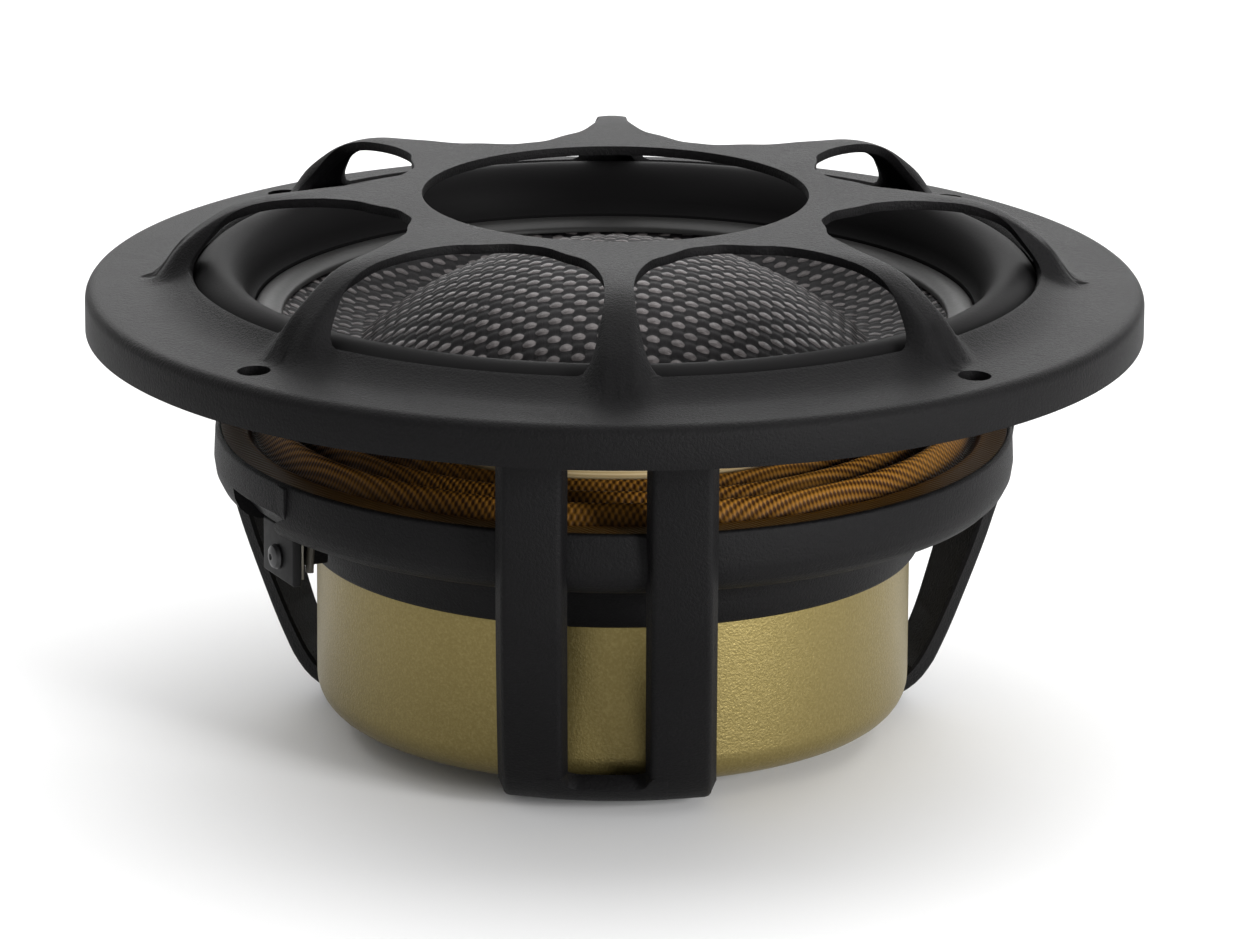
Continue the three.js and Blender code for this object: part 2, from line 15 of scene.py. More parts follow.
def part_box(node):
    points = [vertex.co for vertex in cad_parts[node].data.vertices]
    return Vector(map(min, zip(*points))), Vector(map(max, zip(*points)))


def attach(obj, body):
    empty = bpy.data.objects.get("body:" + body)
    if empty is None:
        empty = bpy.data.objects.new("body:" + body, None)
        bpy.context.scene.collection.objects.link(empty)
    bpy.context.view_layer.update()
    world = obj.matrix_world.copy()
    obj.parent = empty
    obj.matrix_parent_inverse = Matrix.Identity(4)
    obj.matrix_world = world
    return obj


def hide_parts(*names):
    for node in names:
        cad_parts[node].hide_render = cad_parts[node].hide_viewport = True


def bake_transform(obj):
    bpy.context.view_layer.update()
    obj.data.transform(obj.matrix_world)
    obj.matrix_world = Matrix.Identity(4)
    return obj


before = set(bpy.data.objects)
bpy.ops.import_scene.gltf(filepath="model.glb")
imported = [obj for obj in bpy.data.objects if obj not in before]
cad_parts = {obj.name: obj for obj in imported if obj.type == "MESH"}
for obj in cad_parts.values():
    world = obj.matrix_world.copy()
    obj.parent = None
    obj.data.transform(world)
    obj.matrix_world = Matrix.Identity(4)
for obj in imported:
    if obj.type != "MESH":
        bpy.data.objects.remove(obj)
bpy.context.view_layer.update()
MM = 0.001

# %% [markdown]
# ## Sizes taken from the model
# The overall places and sizes come from the boxes of the nodes, so a change of those in the model
# moves the new pieces with it. A box doesn't show an inner radius, a wall or an edge, so those are
# given by name beside the piece that has them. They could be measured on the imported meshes, but a
# few named values are easier to follow.

# %% Sizes
def low(node):
    """Lowest corner of a node in millimetres."""
    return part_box(node)[0] / MM


def high(node):
    """Highest corner of a node in millimetres."""
    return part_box(node)[1] / MM


RIM_R = high("grille").x
FLANGE_Z = low("grille").z
HUB_TOP = high("grille").z
RIM_HEIGHT = 7.3
RING_TOP = FLANGE_Z + RIM_HEIGHT
LIP_R = 68.5
HUB_R = 31.0
SPOKES = 8
SEAT_Z = low("spider").z + 1.0
CAN_R = high("motor_can").x
CAN_LOW = low("motor_can").z
CAN_TOP = high("motor_can").z
CONE_R = high("diaphragm").x
DOME_TOP = high("diaphragm").z
FORMER_R = high("coil_former").x
print("rim radius", RIM_R, "mounting face", FLANGE_Z, "hub top", HUB_TOP, "can radius", CAN_R)

# %% [markdown]
# ## Camera
# A long lens from far away keeps the circles of the driver as calm ellipses. The camera looks
# slightly down on the front pair of legs, from the side that azimuth 0 names. A camera without
# perspective would come close, but the rear of the rim would be a little too large.

# %% Camera
CAMERA_DISTANCE = 1.3
CAMERA_HEIGHT = math.radians(15.19)
CAMERA_ROLL = math.radians(0.414)
CAMERA_TARGET = Vector((0.002, 0.0, 0.0425))
SENSOR = 36.0
LENS = 232.3294
camera_data = bpy.data.cameras.new("camera")
camera_data.sensor_width = SENSOR
camera_data.lens = LENS
camera = bpy.data.objects.new("camera", camera_data)
bpy.context.scene.collection.objects.link(camera)
camera.location = Vector((0, -math.cos(CAMERA_HEIGHT), math.sin(CAMERA_HEIGHT))) * CAMERA_DISTANCE
camera.location.z += FLANGE_Z * MM
camera.rotation_mode = "QUATERNION"
look = (CAMERA_TARGET - camera.location).to_track_quat("-Z", "Y")
camera.rotation_quaternion = look @ Matrix.Rotation(CAMERA_ROLL, 4, "Z").to_quaternion()
camera_data.clip_start = 0.05
bpy.context.scene.camera = camera
print("camera at", [round(c, 3) for c in camera.location])

# %% [markdown]
# ## Helpers for making pieces
# A turned part is a profile spun about the axis, as on a lathe. The profile starts as a circle
# primitive whose points are moved onto the outline, and the spin operator closes it. The Screw
# modifier could do the same, but the operator leaves plain geometry at once. Operators act on the
# selection, so everything is deselected before each piece.

# %% Mesh helpers
MERGE = 0.00001


def deselect():
    if bpy.context.mode != "OBJECT":
        bpy.ops.object.mode_set(mode="OBJECT")
    bpy.ops.object.select_all(action="DESELECT")


def fresh_normals(piece):
    """Merges doubles, drops collapsed faces and points the faces outwards."""
    deselect()
    piece.select_set(True)
    bpy.context.view_layer.objects.active = piece
    bpy.ops.object.mode_set(mode="EDIT")
    bpy.ops.mesh.select_all(action="SELECT")
    bpy.ops.mesh.remove_doubles(threshold=MERGE)
    bpy.ops.mesh.dissolve_degenerate(threshold=MERGE)
    bpy.ops.mesh.normals_make_consistent(inside=False)
    bpy.ops.object.mode_set(mode="OBJECT")


def spun(name, outline, steps=192):
    """A turned piece from a closed outline of (radius, height) points in millimetres."""
    deselect()
    bpy.ops.mesh.primitive_circle_add(vertices=len(outline), radius=0.01, fill_type="NOTHING")
    piece = bpy.context.active_object
    piece.name = name
    piece.data.name = name
    for vertex, (radius, height) in zip(piece.data.vertices, outline):
        vertex.co = (0, -radius * MM, height * MM)
    bpy.ops.object.mode_set(mode="EDIT")
    bpy.ops.mesh.select_all(action="SELECT")
    bpy.ops.mesh.spin(steps=steps, dupli=False, angle=2 * math.pi, center=(0, 0, 0), axis=(0, 0, 1))
    bpy.ops.object.mode_set(mode="OBJECT")
    fresh_normals(piece)
    return piece


def apply_modifier(piece, kind, **settings):
    deselect()
    piece.select_set(True)
    bpy.context.view_layer.objects.active = piece
    modifier = piece.modifiers.new(kind.lower(), kind)
    for key, value in settings.items():
        setattr(modifier, key, value)
    bpy.ops.object.modifier_apply(modifier=modifier.name)


def rounded(piece, width, segments=2, angle=40.0):
    """Rounds the edges that turn more than an angle, by a width in millimetres."""
    apply_modifier(piece, "BEVEL", width=width * MM, segments=segments, limit_method="ANGLE",
                   angle_limit=math.radians(angle), harden_normals=False)


def smooth(piece, angle=38.0):
    deselect()
    piece.select_set(True)
    bpy.context.view_layer.objects.active = piece
    bpy.ops.object.shade_smooth_by_angle(angle=math.radians(angle))


def settle(piece):
    """Applies a piece's place, turn and size, so its object sits at the origin."""
    deselect()
    piece.select_set(True)
    bpy.context.view_layer.objects.active = piece
    bpy.ops.object.transform_apply(location=True, rotation=True, scale=True)


def joined(name, pieces):
    deselect()
    for piece in pieces:
        piece.select_set(True)
    bpy.context.view_layer.objects.active = pieces[0]
    bpy.ops.object.join()
    pieces[0].name = name
    pieces[0].data.name = name
    return pieces[0]


def turned_copy(piece, azimuth):
    """A copy with its own mesh, turned about the axis."""
    copy = piece.copy()
    copy.data = piece.data.copy()
    bpy.context.scene.collection.objects.link(copy)
    copy.data.transform(Matrix.Rotation(math.radians(azimuth), 4, "Z"))
    return copy


def arc(centre_r, centre_z, radius, start, stop, count):
    """Points of an arc in the profile plane, from one angle to another in degrees."""
    found = []
    for i in range(count + 1):
        angle = math.radians(start + (stop - start) * i / count)
        found.append((centre_r + radius * math.cos(angle), centre_z + radius * math.sin(angle)))
    return found


# %% [markdown]
# ## Helpers for finishes
# A finish is built from nodes, and its maths is written as Python expressions. One small class
# wraps a socket, and each operator on it adds the Math node that does the sum. The nodes could be
# laid and linked one by one, but a sum that reads as a sum is easier to check.

# %% Shader helpers
class Wire:
    """A socket of a material; sums on it add Math nodes."""

    def __init__(self, tree, socket):
        self.tree = tree
        self.socket = socket

    def node(self, kind, settings=None, inputs=None, out=0):
        """Adds any node: its settings first, then the values or links of its sockets."""
        made = self.tree.nodes.new(kind)
        for key, value in (settings or {}).items():
            setattr(made, key, value)
        for key, value in (inputs or {}).items():
            if isinstance(value, Wire):
                self.tree.links.new(value.socket, made.inputs[key])
            else:
                made.inputs[key].default_value = value
        return Wire(self.tree, made.outputs[out])

    def sum(self, operation, *values):
        return self.node("ShaderNodeMath", {"operation": operation}, dict(enumerate(values)))

    def __add__(self, other):
        return self.sum("ADD", self, other)

    __radd__ = __add__

    def __sub__(self, other):
        return self.sum("SUBTRACT", self, other)

    def __rsub__(self, other):
        return self.sum("SUBTRACT", other, self)

    def __mul__(self, other):
        return self.sum("MULTIPLY", self, other)

    __rmul__ = __mul__

    def __truediv__(self, other):
        return self.sum("DIVIDE", self, other)

    def mix(self, first, second):
        """A colour between first and second, where this wire is the share of second."""
        made = self.tree.nodes.new("ShaderNodeMix")
        made.data_type = "RGBA"
        self.tree.links.new(self.socket, made.inputs["Factor"])
        for socket, value in ((made.inputs[6], first), (made.inputs[7], second)):
            if isinstance(value, Wire):
                self.tree.links.new(value.socket, socket)
            else:
                socket.default_value = (*value, 1)
        return Wire(self.tree, made.outputs[2])

    def band(self, start, stop):
        """0 below start, 1 above stop, and smooth between."""
        return self.node("ShaderNodeMapRange", {"interpolation_type": "SMOOTHSTEP"},
                         {"Value": self, "From Min": start, "From Max": stop, "To Min": 0.0, "To Max": 1.0})


class Finish:
    """A material with one Principled shader, and the wires that its patterns start from."""

    def __init__(self, name, **constants):
        self.material = bpy.data.materials.new(name)
        self.material.use_nodes = True
        self.tree = self.material.node_tree
        self.shader = self.tree.nodes["Principled BSDF"]
        for key, value in constants.items():
            self.shader.inputs[key.replace("_", " ")].default_value = value
        self.start = Wire(self.tree, None)
        self.place = self.start.node("ShaderNodeTexCoord", out=3)

    def feed(self, **wires):
        for key, wire in wires.items():
            self.tree.links.new(wire.socket, self.shader.inputs[key.replace("_", " ")])

    def noise(self, scale, detail=3.0, roughness=0.5, place=None):
        inputs = {"Vector": place or self.place, "Scale": scale, "Detail": detail, "Roughness": roughness}
        return self.start.node("ShaderNodeTexNoise", {}, inputs)

    def bump(self, height, distance, strength=1.0):
        """Feeds the normal from a height in units of the distance, in metres."""
        inputs = {"Strength": strength, "Distance": distance, "Height": height}
        self.feed(Normal=self.start.node("ShaderNodeBump", {}, inputs))

    def axis(self, index):
        """The x, y or z of a point on the piece, for an index of 0, 1 or 2."""
        return self.start.node("ShaderNodeSeparateXYZ", {}, {"Vector": self.place}, out=index)


# %% [markdown]
# ## Powder-coated casting
# The grille and basket are cast aluminium under a fine-textured black powder coat. The coat has a
# sandy grain under a millimetre across and a slow change of tone. The grain goes into both the
# bump and the roughness, so edges catch a broken light. Grain could also be real geometry, but it
# is finer than any mesh that the piece could carry.

# %% Black casting
def casting_finish(name, tone):
    finish = Finish(name, Metallic=0.0, IOR=1.5, Specular_IOR_Level=0.1)
    grain = finish.noise(2300.0, 3.0, 0.7)
    cloudy = finish.noise(60.0, 3.0, 0.5)
    dust = finish.noise(700.0, 4.0, 0.75).band(0.6, 0.78)
    mottled = cloudy * 0.5 + grain.band(0.3, 0.7) * 0.5
    colour = mottled.mix([c * 0.6 for c in tone], [c * 1.45 for c in tone])
    finish.feed(Base_Color=(dust * 0.5).mix(colour, [c * 2.6 for c in tone]))
    finish.feed(Roughness=0.40 + grain * 0.2 + cloudy * 0.06)
    finish.bump(grain, 0.0002, 0.9)
    return finish.material


black_casting = casting_finish("black_casting", (0.0036, 0.0034, 0.0037))


# %% [markdown]
# ## Grille: the plan of one opening
# Eight spokes carry a hub plate over the cone, and the eight openings between them are alike. Each
# outline runs from the hub along the flank of a spoke, turns a tight corner above the lip and
# follows the lip. No circle or ellipse has that corner, so a few points along one flank are given
# and a smooth curve joins them.

# %% Opening outline
HALF_SECTOR = math.pi / SPOKES
INNER_END = 36.15
FLANK = ((38.6, 8.0), (41.3, 5.5), (44.8, 4.0), (49.4, 2.8), (53.8, 2.3), (58.0, 2.3), (62.5, 2.8),
         (65.4, 3.6), (67.0, 4.3), (67.9, 5.1), (68.2, 6.2), (68.1, 7.6))
HALF_COUNT = 72


def smooth_run(points, count, mirror=None):
    """Evenly spaced points on a smooth curve through some points; mirror carries it on past its ends."""
    points = np.array(points, float)
    first, last = 2 * points[0] - points[1], 2 * points[-1] - points[-2]
    if mirror is not None:
        first, last = points[1] * mirror, points[-2] * mirror
    padded = np.vstack([first, points, last])
    run = []
    for i in range(1, len(padded) - 2):
        before, here, there, after = padded[i - 1:i + 3]
        for t in np.linspace(0, 1, 24, endpoint=False):
            run.append(0.5 * (2 * here + (there - before) * t
                              + (2 * before - 5 * here + 4 * there - after) * t ** 2
                              + (3 * here - before - 3 * there + after) * t ** 3))
    run = np.array(run + [points[-1]])
    lengths = np.concatenate([[0], np.cumsum(np.linalg.norm(np.diff(run, axis=0), axis=1))])
    even = np.linspace(0, lengths[-1], count)
    return np.stack([np.interp(even, lengths, run[:, k]) for k in range(run.shape[1])], axis=1)


def opening_half():
    """Plan points of half an opening, with the middle of the opening on -Y."""
    run = [(0.0, INNER_END), (3.2, 36.4)]
    for along, aside in FLANK:
        run.append((along * math.sin(HALF_SECTOR) - aside * math.cos(HALF_SECTOR),
                    along * math.cos(HALF_SECTOR) + aside * math.sin(HALF_SECTOR)))
    for angle in (0.6, 0.5, 0.4, 0.3, 0.2, 0.1, 0.0):
        run.append((LIP_R * math.sin(HALF_SECTOR * angle), LIP_R * math.cos(HALF_SECTOR * angle)))
    return smooth_run(run, HALF_COUNT + 1, mirror=(-1, 1))


def sector_half(inner, outer, half):
    """Plan points on the edge of half a sector, each level with a point of the opening."""
    angles = np.arctan2(half[:, 0], half[:, 1])
    radii = np.linalg.norm(half, axis=1)
    turn_in = int(np.argmin(abs(radii - 39.0) + 100 * (radii > 60)))
    along = half[:, 1] * math.cos(HALF_SECTOR) + half[:, 0] * math.sin(HALF_SECTOR)
    turn_out = int(np.argmax(along > LIP_R - 0.6))
    points = []
    for i in range(len(half)):
        if i <= turn_in:
            radius, angle = inner, HALF_SECTOR * i / turn_in
        elif i <= turn_out:
            share = (radii[i] - radii[turn_in]) / (radii[turn_out] - radii[turn_in])
            radius, angle = inner + (outer - inner) * share, HALF_SECTOR
        else:
            radius, angle = outer, HALF_SECTOR * angles[i] / angles[turn_out]
        points.append((radius * math.sin(angle), radius * math.cos(angle)))
    return np.array(points)


# %% [markdown]
# ## Grille: its crown
# The top of the casting is one smooth height above the plan. The spokes stay high and bend down at
# the shoulder, the trim ring lies low with a raised lip, and a soft maximum melts the foot of each
# spoke into the ring. Spokes made one by one and joined to a ring would show a seam at each foot.

# %% Crown heights
TRIM_R = RIM_R - 1.9
FOOT_CORE = 2.0
FOOT_EDGE = 6.4


def soft_step(value, start, stop):
    share = np.clip((value - start) / (stop - start), 0, 1)
    return share * share * (3 - 2 * share)


def spoke_height(radius):
    bend = 3.8 * np.log1p(np.exp((radius - 62.6) / 3.8))
    run_out = 0.12 * np.maximum(radius - 69.0, 0) ** 2
    return HUB_TOP - bend - run_out - 0.5 * ((radius - HUB_R) / 30) ** 2


def ring_height(radius):
    rise = np.clip((LIP_R + 6 - radius) / 6, 0, 1)
    return RING_TOP - 0.05 * (radius - LIP_R - 6) + 2.5 * rise ** 1.6


def crown_height(radius, aside):
    """Height of the grille's top at a radius and a distance from the axis of the nearest spoke."""
    ring = ring_height(radius)
    above = 0.8 * np.log1p(np.exp((spoke_height(radius) - ring) / 0.8))
    keep = 1 - soft_step(aside, FOOT_CORE, FOOT_EDGE) * soft_step(radius, 58, 66.5)
    crowned = 0.035 * np.minimum(aside, 4) ** 2 * soft_step(radius, 46, 54) * (1 - soft_step(radius, 64, 69))
    return ring + above * keep - crowned * keep


# %% [markdown]
# ## Grille: the casting
# One sector is a grid wrapped round its opening, then lifted to the crown. Seven turned copies
# complete the circle. The rim is extruded down to the mounting face, Solidify gives the wall and
# Bevel breaks the edges. The openings could be cut from a disc, but faces that follow each outline
# shade smoothly round it. The screw holes are cut last, and their edges stay crisp.

# %% Grille
GRILLE_WALL = 1.5
GRILLE_EDGE = 0.3
ROWS = np.array([0, 0.05, 0.12, 0.21, 0.31, 0.42, 0.53, 0.64, 0.75, 0.85, 0.93, 1.0])
SCREW_CIRCLE = 78.5
SCREW_HOLE_R = 2.6
SCREW_AZIMUTHS = (45, 135, 225, 315)
GRILLE_CLOCK = 0.7
RIM_STRAIGHT = 2.0


def sheet(name, points):
    """A sheet of quads through rows of points in millimetres, from a grid primitive."""
    rows, columns = points.shape[:2]
    deselect()
    bpy.ops.mesh.primitive_grid_add(x_subdivisions=columns - 1, y_subdivisions=rows - 1, size=0.01)
    piece = bpy.context.active_object
    piece.name = name
    piece.data.name = name
    piece.data.vertices.foreach_set("co", (points * MM).astype(np.float32).ravel())
    piece.data.update()
    return piece


def coordinates(piece):
    """The vertices of a piece in millimetres."""
    found = np.empty(len(piece.data.vertices) * 3, np.float32)
    piece.data.vertices.foreach_get("co", found)
    return found.reshape(-1, 3).astype(float) / MM


def set_coordinates(piece, points):
    piece.data.vertices.foreach_set("co", (points * MM).astype(np.float32).ravel())
    piece.data.update()


def cut(piece, cutter, operation="DIFFERENCE"):
    apply_modifier(piece, "BOOLEAN", object=cutter, operation=operation, solver="MANIFOLD")
    bpy.data.objects.remove(cutter)


def rod(azimuth, circle, radius, low_z, high_z, sides=40):
    """An upright cutter at a radius and azimuth, in millimetres."""
    angle = math.radians(azimuth)
    deselect()
    bpy.ops.mesh.primitive_cylinder_add(
        vertices=sides, radius=radius * MM, depth=(high_z - low_z) * MM,
        location=(circle * math.sin(angle) * MM, -circle * math.cos(angle) * MM, (low_z + high_z) / 2 * MM))
    cutter = bpy.context.active_object
    settle(cutter)
    return cutter


def grille_sector():
    half = opening_half()
    edge = sector_half(HUB_R, TRIM_R, half)
    mirror = np.array([-1, 1])
    opening = np.vstack([half, (half * mirror)[-2::-1]])
    outside = np.vstack([edge, (edge * mirror)[-2::-1]])
    plan = opening[None] + (outside - opening)[None] * ROWS[:, None, None]
    radius = np.linalg.norm(plan, axis=2)
    angle = np.arctan2(plan[..., 0], plan[..., 1])
    aside = radius * np.sin(HALF_SECTOR - abs(angle))
    height = crown_height(radius, aside)
    return sheet("grille_sector", np.stack([plan[..., 0], -plan[..., 1], height], axis=2))


def extruded_rim(piece, edge_r, profile):
    """Extrudes the outer edge of a sheet through (radius, height) points."""
    for radius, height in profile:
        points = coordinates(piece)
        radii = np.linalg.norm(points[:, :2], axis=1)
        on_edge = radii > edge_r - 0.02
        deselect()
        piece.select_set(True)
        bpy.context.view_layer.objects.active = piece
        bpy.ops.object.mode_set(mode="EDIT")
        bpy.ops.mesh.select_mode(type="EDGE")
        bpy.ops.mesh.select_all(action="DESELECT")
        bpy.ops.object.mode_set(mode="OBJECT")
        users = np.zeros(len(piece.data.edges), int)
        for loop in piece.data.loops:
            users[loop.edge_index] += 1
        for edge in piece.data.edges:
            first, second = edge.vertices
            edge.select = bool(users[edge.index] == 1 and on_edge[first] and on_edge[second])
        count = len(piece.data.vertices)
        bpy.ops.object.mode_set(mode="EDIT")
        bpy.ops.mesh.extrude_edges_move(TRANSFORM_OT_translate={"value": (0, 0, 0)})
        bpy.ops.object.mode_set(mode="OBJECT")
        points = coordinates(piece)
        fresh = points[count:]
        radii = np.linalg.norm(fresh[:, :2], axis=1, keepdims=True)
        fresh[:, :2] *= radius / radii
        fresh[:, 2] = height
        set_coordinates(piece, points)
        edge_r = radius


def make_grille():
    sector = grille_sector()
    sectors = [sector] + [turned_copy(sector, 360 / SPOKES * i) for i in range(1, SPOKES)]
    for piece in sectors:
        piece.data.transform(Matrix.Rotation(HALF_SECTOR, 4, "Z"))
    grille = joined("grille_casting", sectors)
    fresh_normals(grille)
    trim_z = float(ring_height(TRIM_R))
    rim_round = RIM_R - TRIM_R
    profile = arc(TRIM_R, trim_z - rim_round, rim_round, 75, 0, 5)
    profile += [(RIM_R, trim_z - rim_round - RIM_STRAIGHT), (RIM_R, FLANGE_Z)]
    extruded_rim(grille, TRIM_R, profile)
    fresh_normals(grille)
    top = max(grille.data.polygons, key=lambda face: face.center.z)
    if top.normal.z < 0:
        grille.data.flip_normals()
    apply_modifier(grille, "SOLIDIFY", thickness=GRILLE_WALL * MM, offset=-1, use_quality_normals=True)
    rounded(grille, GRILLE_EDGE, 2, 50)
    grille.data.transform(Matrix.Rotation(math.radians(GRILLE_CLOCK), 4, "Z"))
    for azimuth in SCREW_AZIMUTHS:
        cut(grille, rod(azimuth, SCREW_CIRCLE, SCREW_HOLE_R, FLANGE_Z, RING_TOP + 3))
    smooth(grille, 32)
    grille.data.materials.clear()
    grille.data.materials.append(black_casting)
    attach(grille, "frame")
    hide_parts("grille")
    return grille


grille = make_grille()
print("grille:", len(grille.data.polygons), "faces")

# %% [markdown]
# ## Basket: flange, landing ring and neck
# The basket is one casting. Its round parts are turned: a flange under the trim ring, the landing
# ring that the spider sits on, and the neck that slips over the motor can. Their profiles are
# spun, and the corners get the small radius that a die-cast part has. Scaled primitive rings could
# stand in for them, but a spun profile gives the lip, the taper and the neck in one smooth skin.

# %% Basket rings
def finished(piece, material, body, nodes, angle=38.0):
    """Smooths a piece, gives it its finish, hangs it on its body and hides the nodes that it stands for."""
    smooth(piece, angle)
    piece.data.materials.clear()
    piece.data.materials.append(material)
    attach(piece, body)
    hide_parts(*nodes)
    print(piece.name, len(piece.data.polygons), "faces")
    return piece


FLANGE_R = RIM_R - 2.9
FLANGE_INNER_R = 65.6
FLANGE_THICK = 3.0
FLANGE_EDGE = 0.5
RING_R = 64.3
SEAT_DROP = 0.7
TERMINAL_AZIMUTH = -64.0
BOARD_FACE = RING_R - 5.1
BOARD_LOW = low("terminal_board").z
BOARD_HIGH = high("terminal_board").z
PAD_LOW = SEAT_Z - 5.3


def lofted(name, levels):
    """A solid through closed levels of points: a grid wrapped into a tube, with its ends filled."""
    levels = [list(level) + [level[0]] for level in levels]
    piece = sheet(name, np.array(levels, float))
    deselect()
    piece.select_set(True)
    bpy.context.view_layer.objects.active = piece
    bpy.ops.object.mode_set(mode="EDIT")
    bpy.ops.mesh.select_all(action="SELECT")
    bpy.ops.mesh.remove_doubles(threshold=MERGE)
    bpy.ops.mesh.select_all(action="DESELECT")
    bpy.ops.mesh.select_mode(type="EDGE")
    bpy.ops.mesh.select_non_manifold(extend=False)
    bpy.ops.mesh.fill_holes(sides=0)
    bpy.ops.mesh.select_mode(type="VERT")
    bpy.ops.object.mode_set(mode="OBJECT")
    fresh_normals(piece)
    return piece


def radial_level(height, inner, outer, left, right):
    """Four corners of a level of a radial solid, before it is turned to its azimuth."""
    return [(left, -inner, height), (left, -outer, height), (right, -outer, height), (right, -inner, height)]


def terminal_notch():
    """The cutter that lets the terminal board stand under the ring, sloping out above it."""
    inner, face, far, half = BOARD_FACE - 3.7, BOARD_FACE + 0.3, RING_R + 12, 6.3
    notch = lofted("notch", [radial_level(BOARD_LOW - 3, inner, far, -half, half),
                             radial_level(BOARD_HIGH + 0.3, inner, far, -half, half),
                             radial_level(BOARD_HIGH + 0.32, face, far, -half, half),
                             radial_level(PAD_LOW - 2, RING_R - 2.8, far, -half, half + 1.8),
                             radial_level(PAD_LOW + 0.1, RING_R - 0.5, far, -half, half + 6.2)])
    notch.data.transform(Matrix.Rotation(math.radians(TERMINAL_AZIMUTH), 4, "Z"))
    return notch


def flange_ring():
    top = FLANGE_Z + FLANGE_THICK
    flange = spun("flange", [(FLANGE_INNER_R, FLANGE_Z), (FLANGE_R, FLANGE_Z), (FLANGE_R, top),
                             (FLANGE_INNER_R, top)])
    for azimuth in SCREW_AZIMUTHS:
        cut(flange, rod(azimuth, SCREW_CIRCLE, SCREW_HOLE_R, FLANGE_Z - 2, top + 2))
    rounded(flange, FLANGE_EDGE)
    return flange


def landing_ring():
    neck_z = CAN_TOP - 6
    seat = SEAT_Z
    outline = [(RING_R - 0.75, seat), (RING_R - 0.6, seat), *arc(RING_R - 0.6, seat - 0.6, 0.6, 90, 0, 4)[1:],
               (RING_R + 0.2, seat - 5), (RING_R - 0.1, seat - 7), (RING_R - 0.9, seat - 8.6),
               (RING_R - 2.2, seat - 9.8), (RING_R - 4, seat - 10.6), (CAN_R + 6, seat - 11.6),
               (CAN_R + 4, seat - 12.4), (CAN_R + 2.8, seat - 14), (CAN_R + 2.2, neck_z + 3.5),
               (CAN_R + 1.5, neck_z + 0.5), (CAN_R + 1.1, neck_z), (CAN_R + 0.3, neck_z),
               (CAN_R + 0.3, neck_z + 7), (CAN_R + 1.5, seat - 11), (CAN_R + 4, seat - 9.2),
               (RING_R - 5, seat - 8), (RING_R - 4, seat - 6.6), (RING_R - 4, seat - SEAT_DROP),
               (RING_R - 0.75, seat - SEAT_DROP)]
    ring = spun("landing_ring", outline)
    cut(ring, terminal_notch())
    return ring


# %% [markdown]
# ## Basket: legs
# Three pairs of legs run from the flange down past the ring and in under the can. A leg is a bar
# whose front is narrower than its back, as a casting needs to leave its mould. A grid is wrapped
# round that section and swept along the path, because a row of stretched blocks would break at
# every bend. A plate with a rounded upper edge joins each pair at the bottom.

# %% Basket legs
LEG_PATH = ((68, 68), (67.4, 58), (67.0, 52), (66.3, 45), (64.6, 36), (62.3, 29.5), (60.3, 23.5),
            (57.2, 13.6), (54.9, 8.4), (53.2, 5.8), (51.0, 3.6), (48.0, 2.1), (44.0, 1.07),
            (39.9, 0.25), (36.6, 0), (26, 0))
LEG_OFFSET = 11.65
LEG_FRONT = 4.85
LEG_BACK = 5.55
LEG_THICK = 3.3
BASKET_CLOCK = -0.85
PAIRS = 3
BASE_THICK = 3.3


def swept_bar(name, path, section):
    """A bar along a path of (radius, height) with a section of (sideways, depth) points."""
    path = np.array(path)
    along = np.gradient(path, axis=0)
    along /= np.linalg.norm(along, axis=1, keepdims=True)
    inward = np.stack([along[:, 1], -along[:, 0]], axis=1)
    section = np.array(section)
    radius = path[:, None, 0] + inward[:, None, 0] * section[None, :, 1]
    height = path[:, None, 1] + inward[:, None, 1] * section[None, :, 1]
    sideways = np.broadcast_to(section[None, :, 0], radius.shape)
    return lofted(name, np.stack([sideways, -radius, height], axis=2))


def seated_foot(piece):
    """Keeps a foot between the floor and the can, and bends it round the axis low down."""
    points = coordinates(piece)
    under_can = BASE_THICK + np.maximum(-points[:, 1] - (CAN_R - 4), 0) * 0.35
    points[:, 2] = np.where(-points[:, 1] < CAN_R + 0.5, np.minimum(points[:, 2], under_can), points[:, 2])
    points[:, 2] = np.maximum(points[:, 2], 0)
    bent = -np.sqrt(np.maximum(points[:, 1] ** 2 - points[:, 0] ** 2, 0))
    share = (1 - soft_step(points[:, 2], 8, 30)) * soft_step(-points[:, 1], 30, 40)
    points[:, 1] += (bent - points[:, 1]) * share
    set_coordinates(piece, points)


def leg_section(front, back, thick):
    side = [(front - 1.1, 0.0), (front - 0.55, 0.12), (front - 0.15, 0.5), (front + 0.05, 1.1),
            (back, thick - 0.5), (back - 0.5, thick)]
    return [(-x, d) for x, d in reversed(side)] + side


def legs():
    path = smooth_run(LEG_PATH, 60)
    found = []
    for pair in range(PAIRS):
        for side in (-1, 1):
            leg = swept_bar("leg", path, leg_section(LEG_FRONT, LEG_BACK, LEG_THICK))
            leg.data.transform(Matrix.Translation((side * LEG_OFFSET * MM, 0, 0)))
            seated_foot(leg)
            leg.data.transform(Matrix.Rotation(math.radians(360 / PAIRS * pair + BASKET_CLOCK), 4, "Z"))
            found.append(leg)
    return found


BRIDGE_TOP = 5.2
BRIDGE_CORNER = 2.6
BRIDGE_THICK = LEG_THICK - 0.3
BRIDGE_EDGE = 0.5


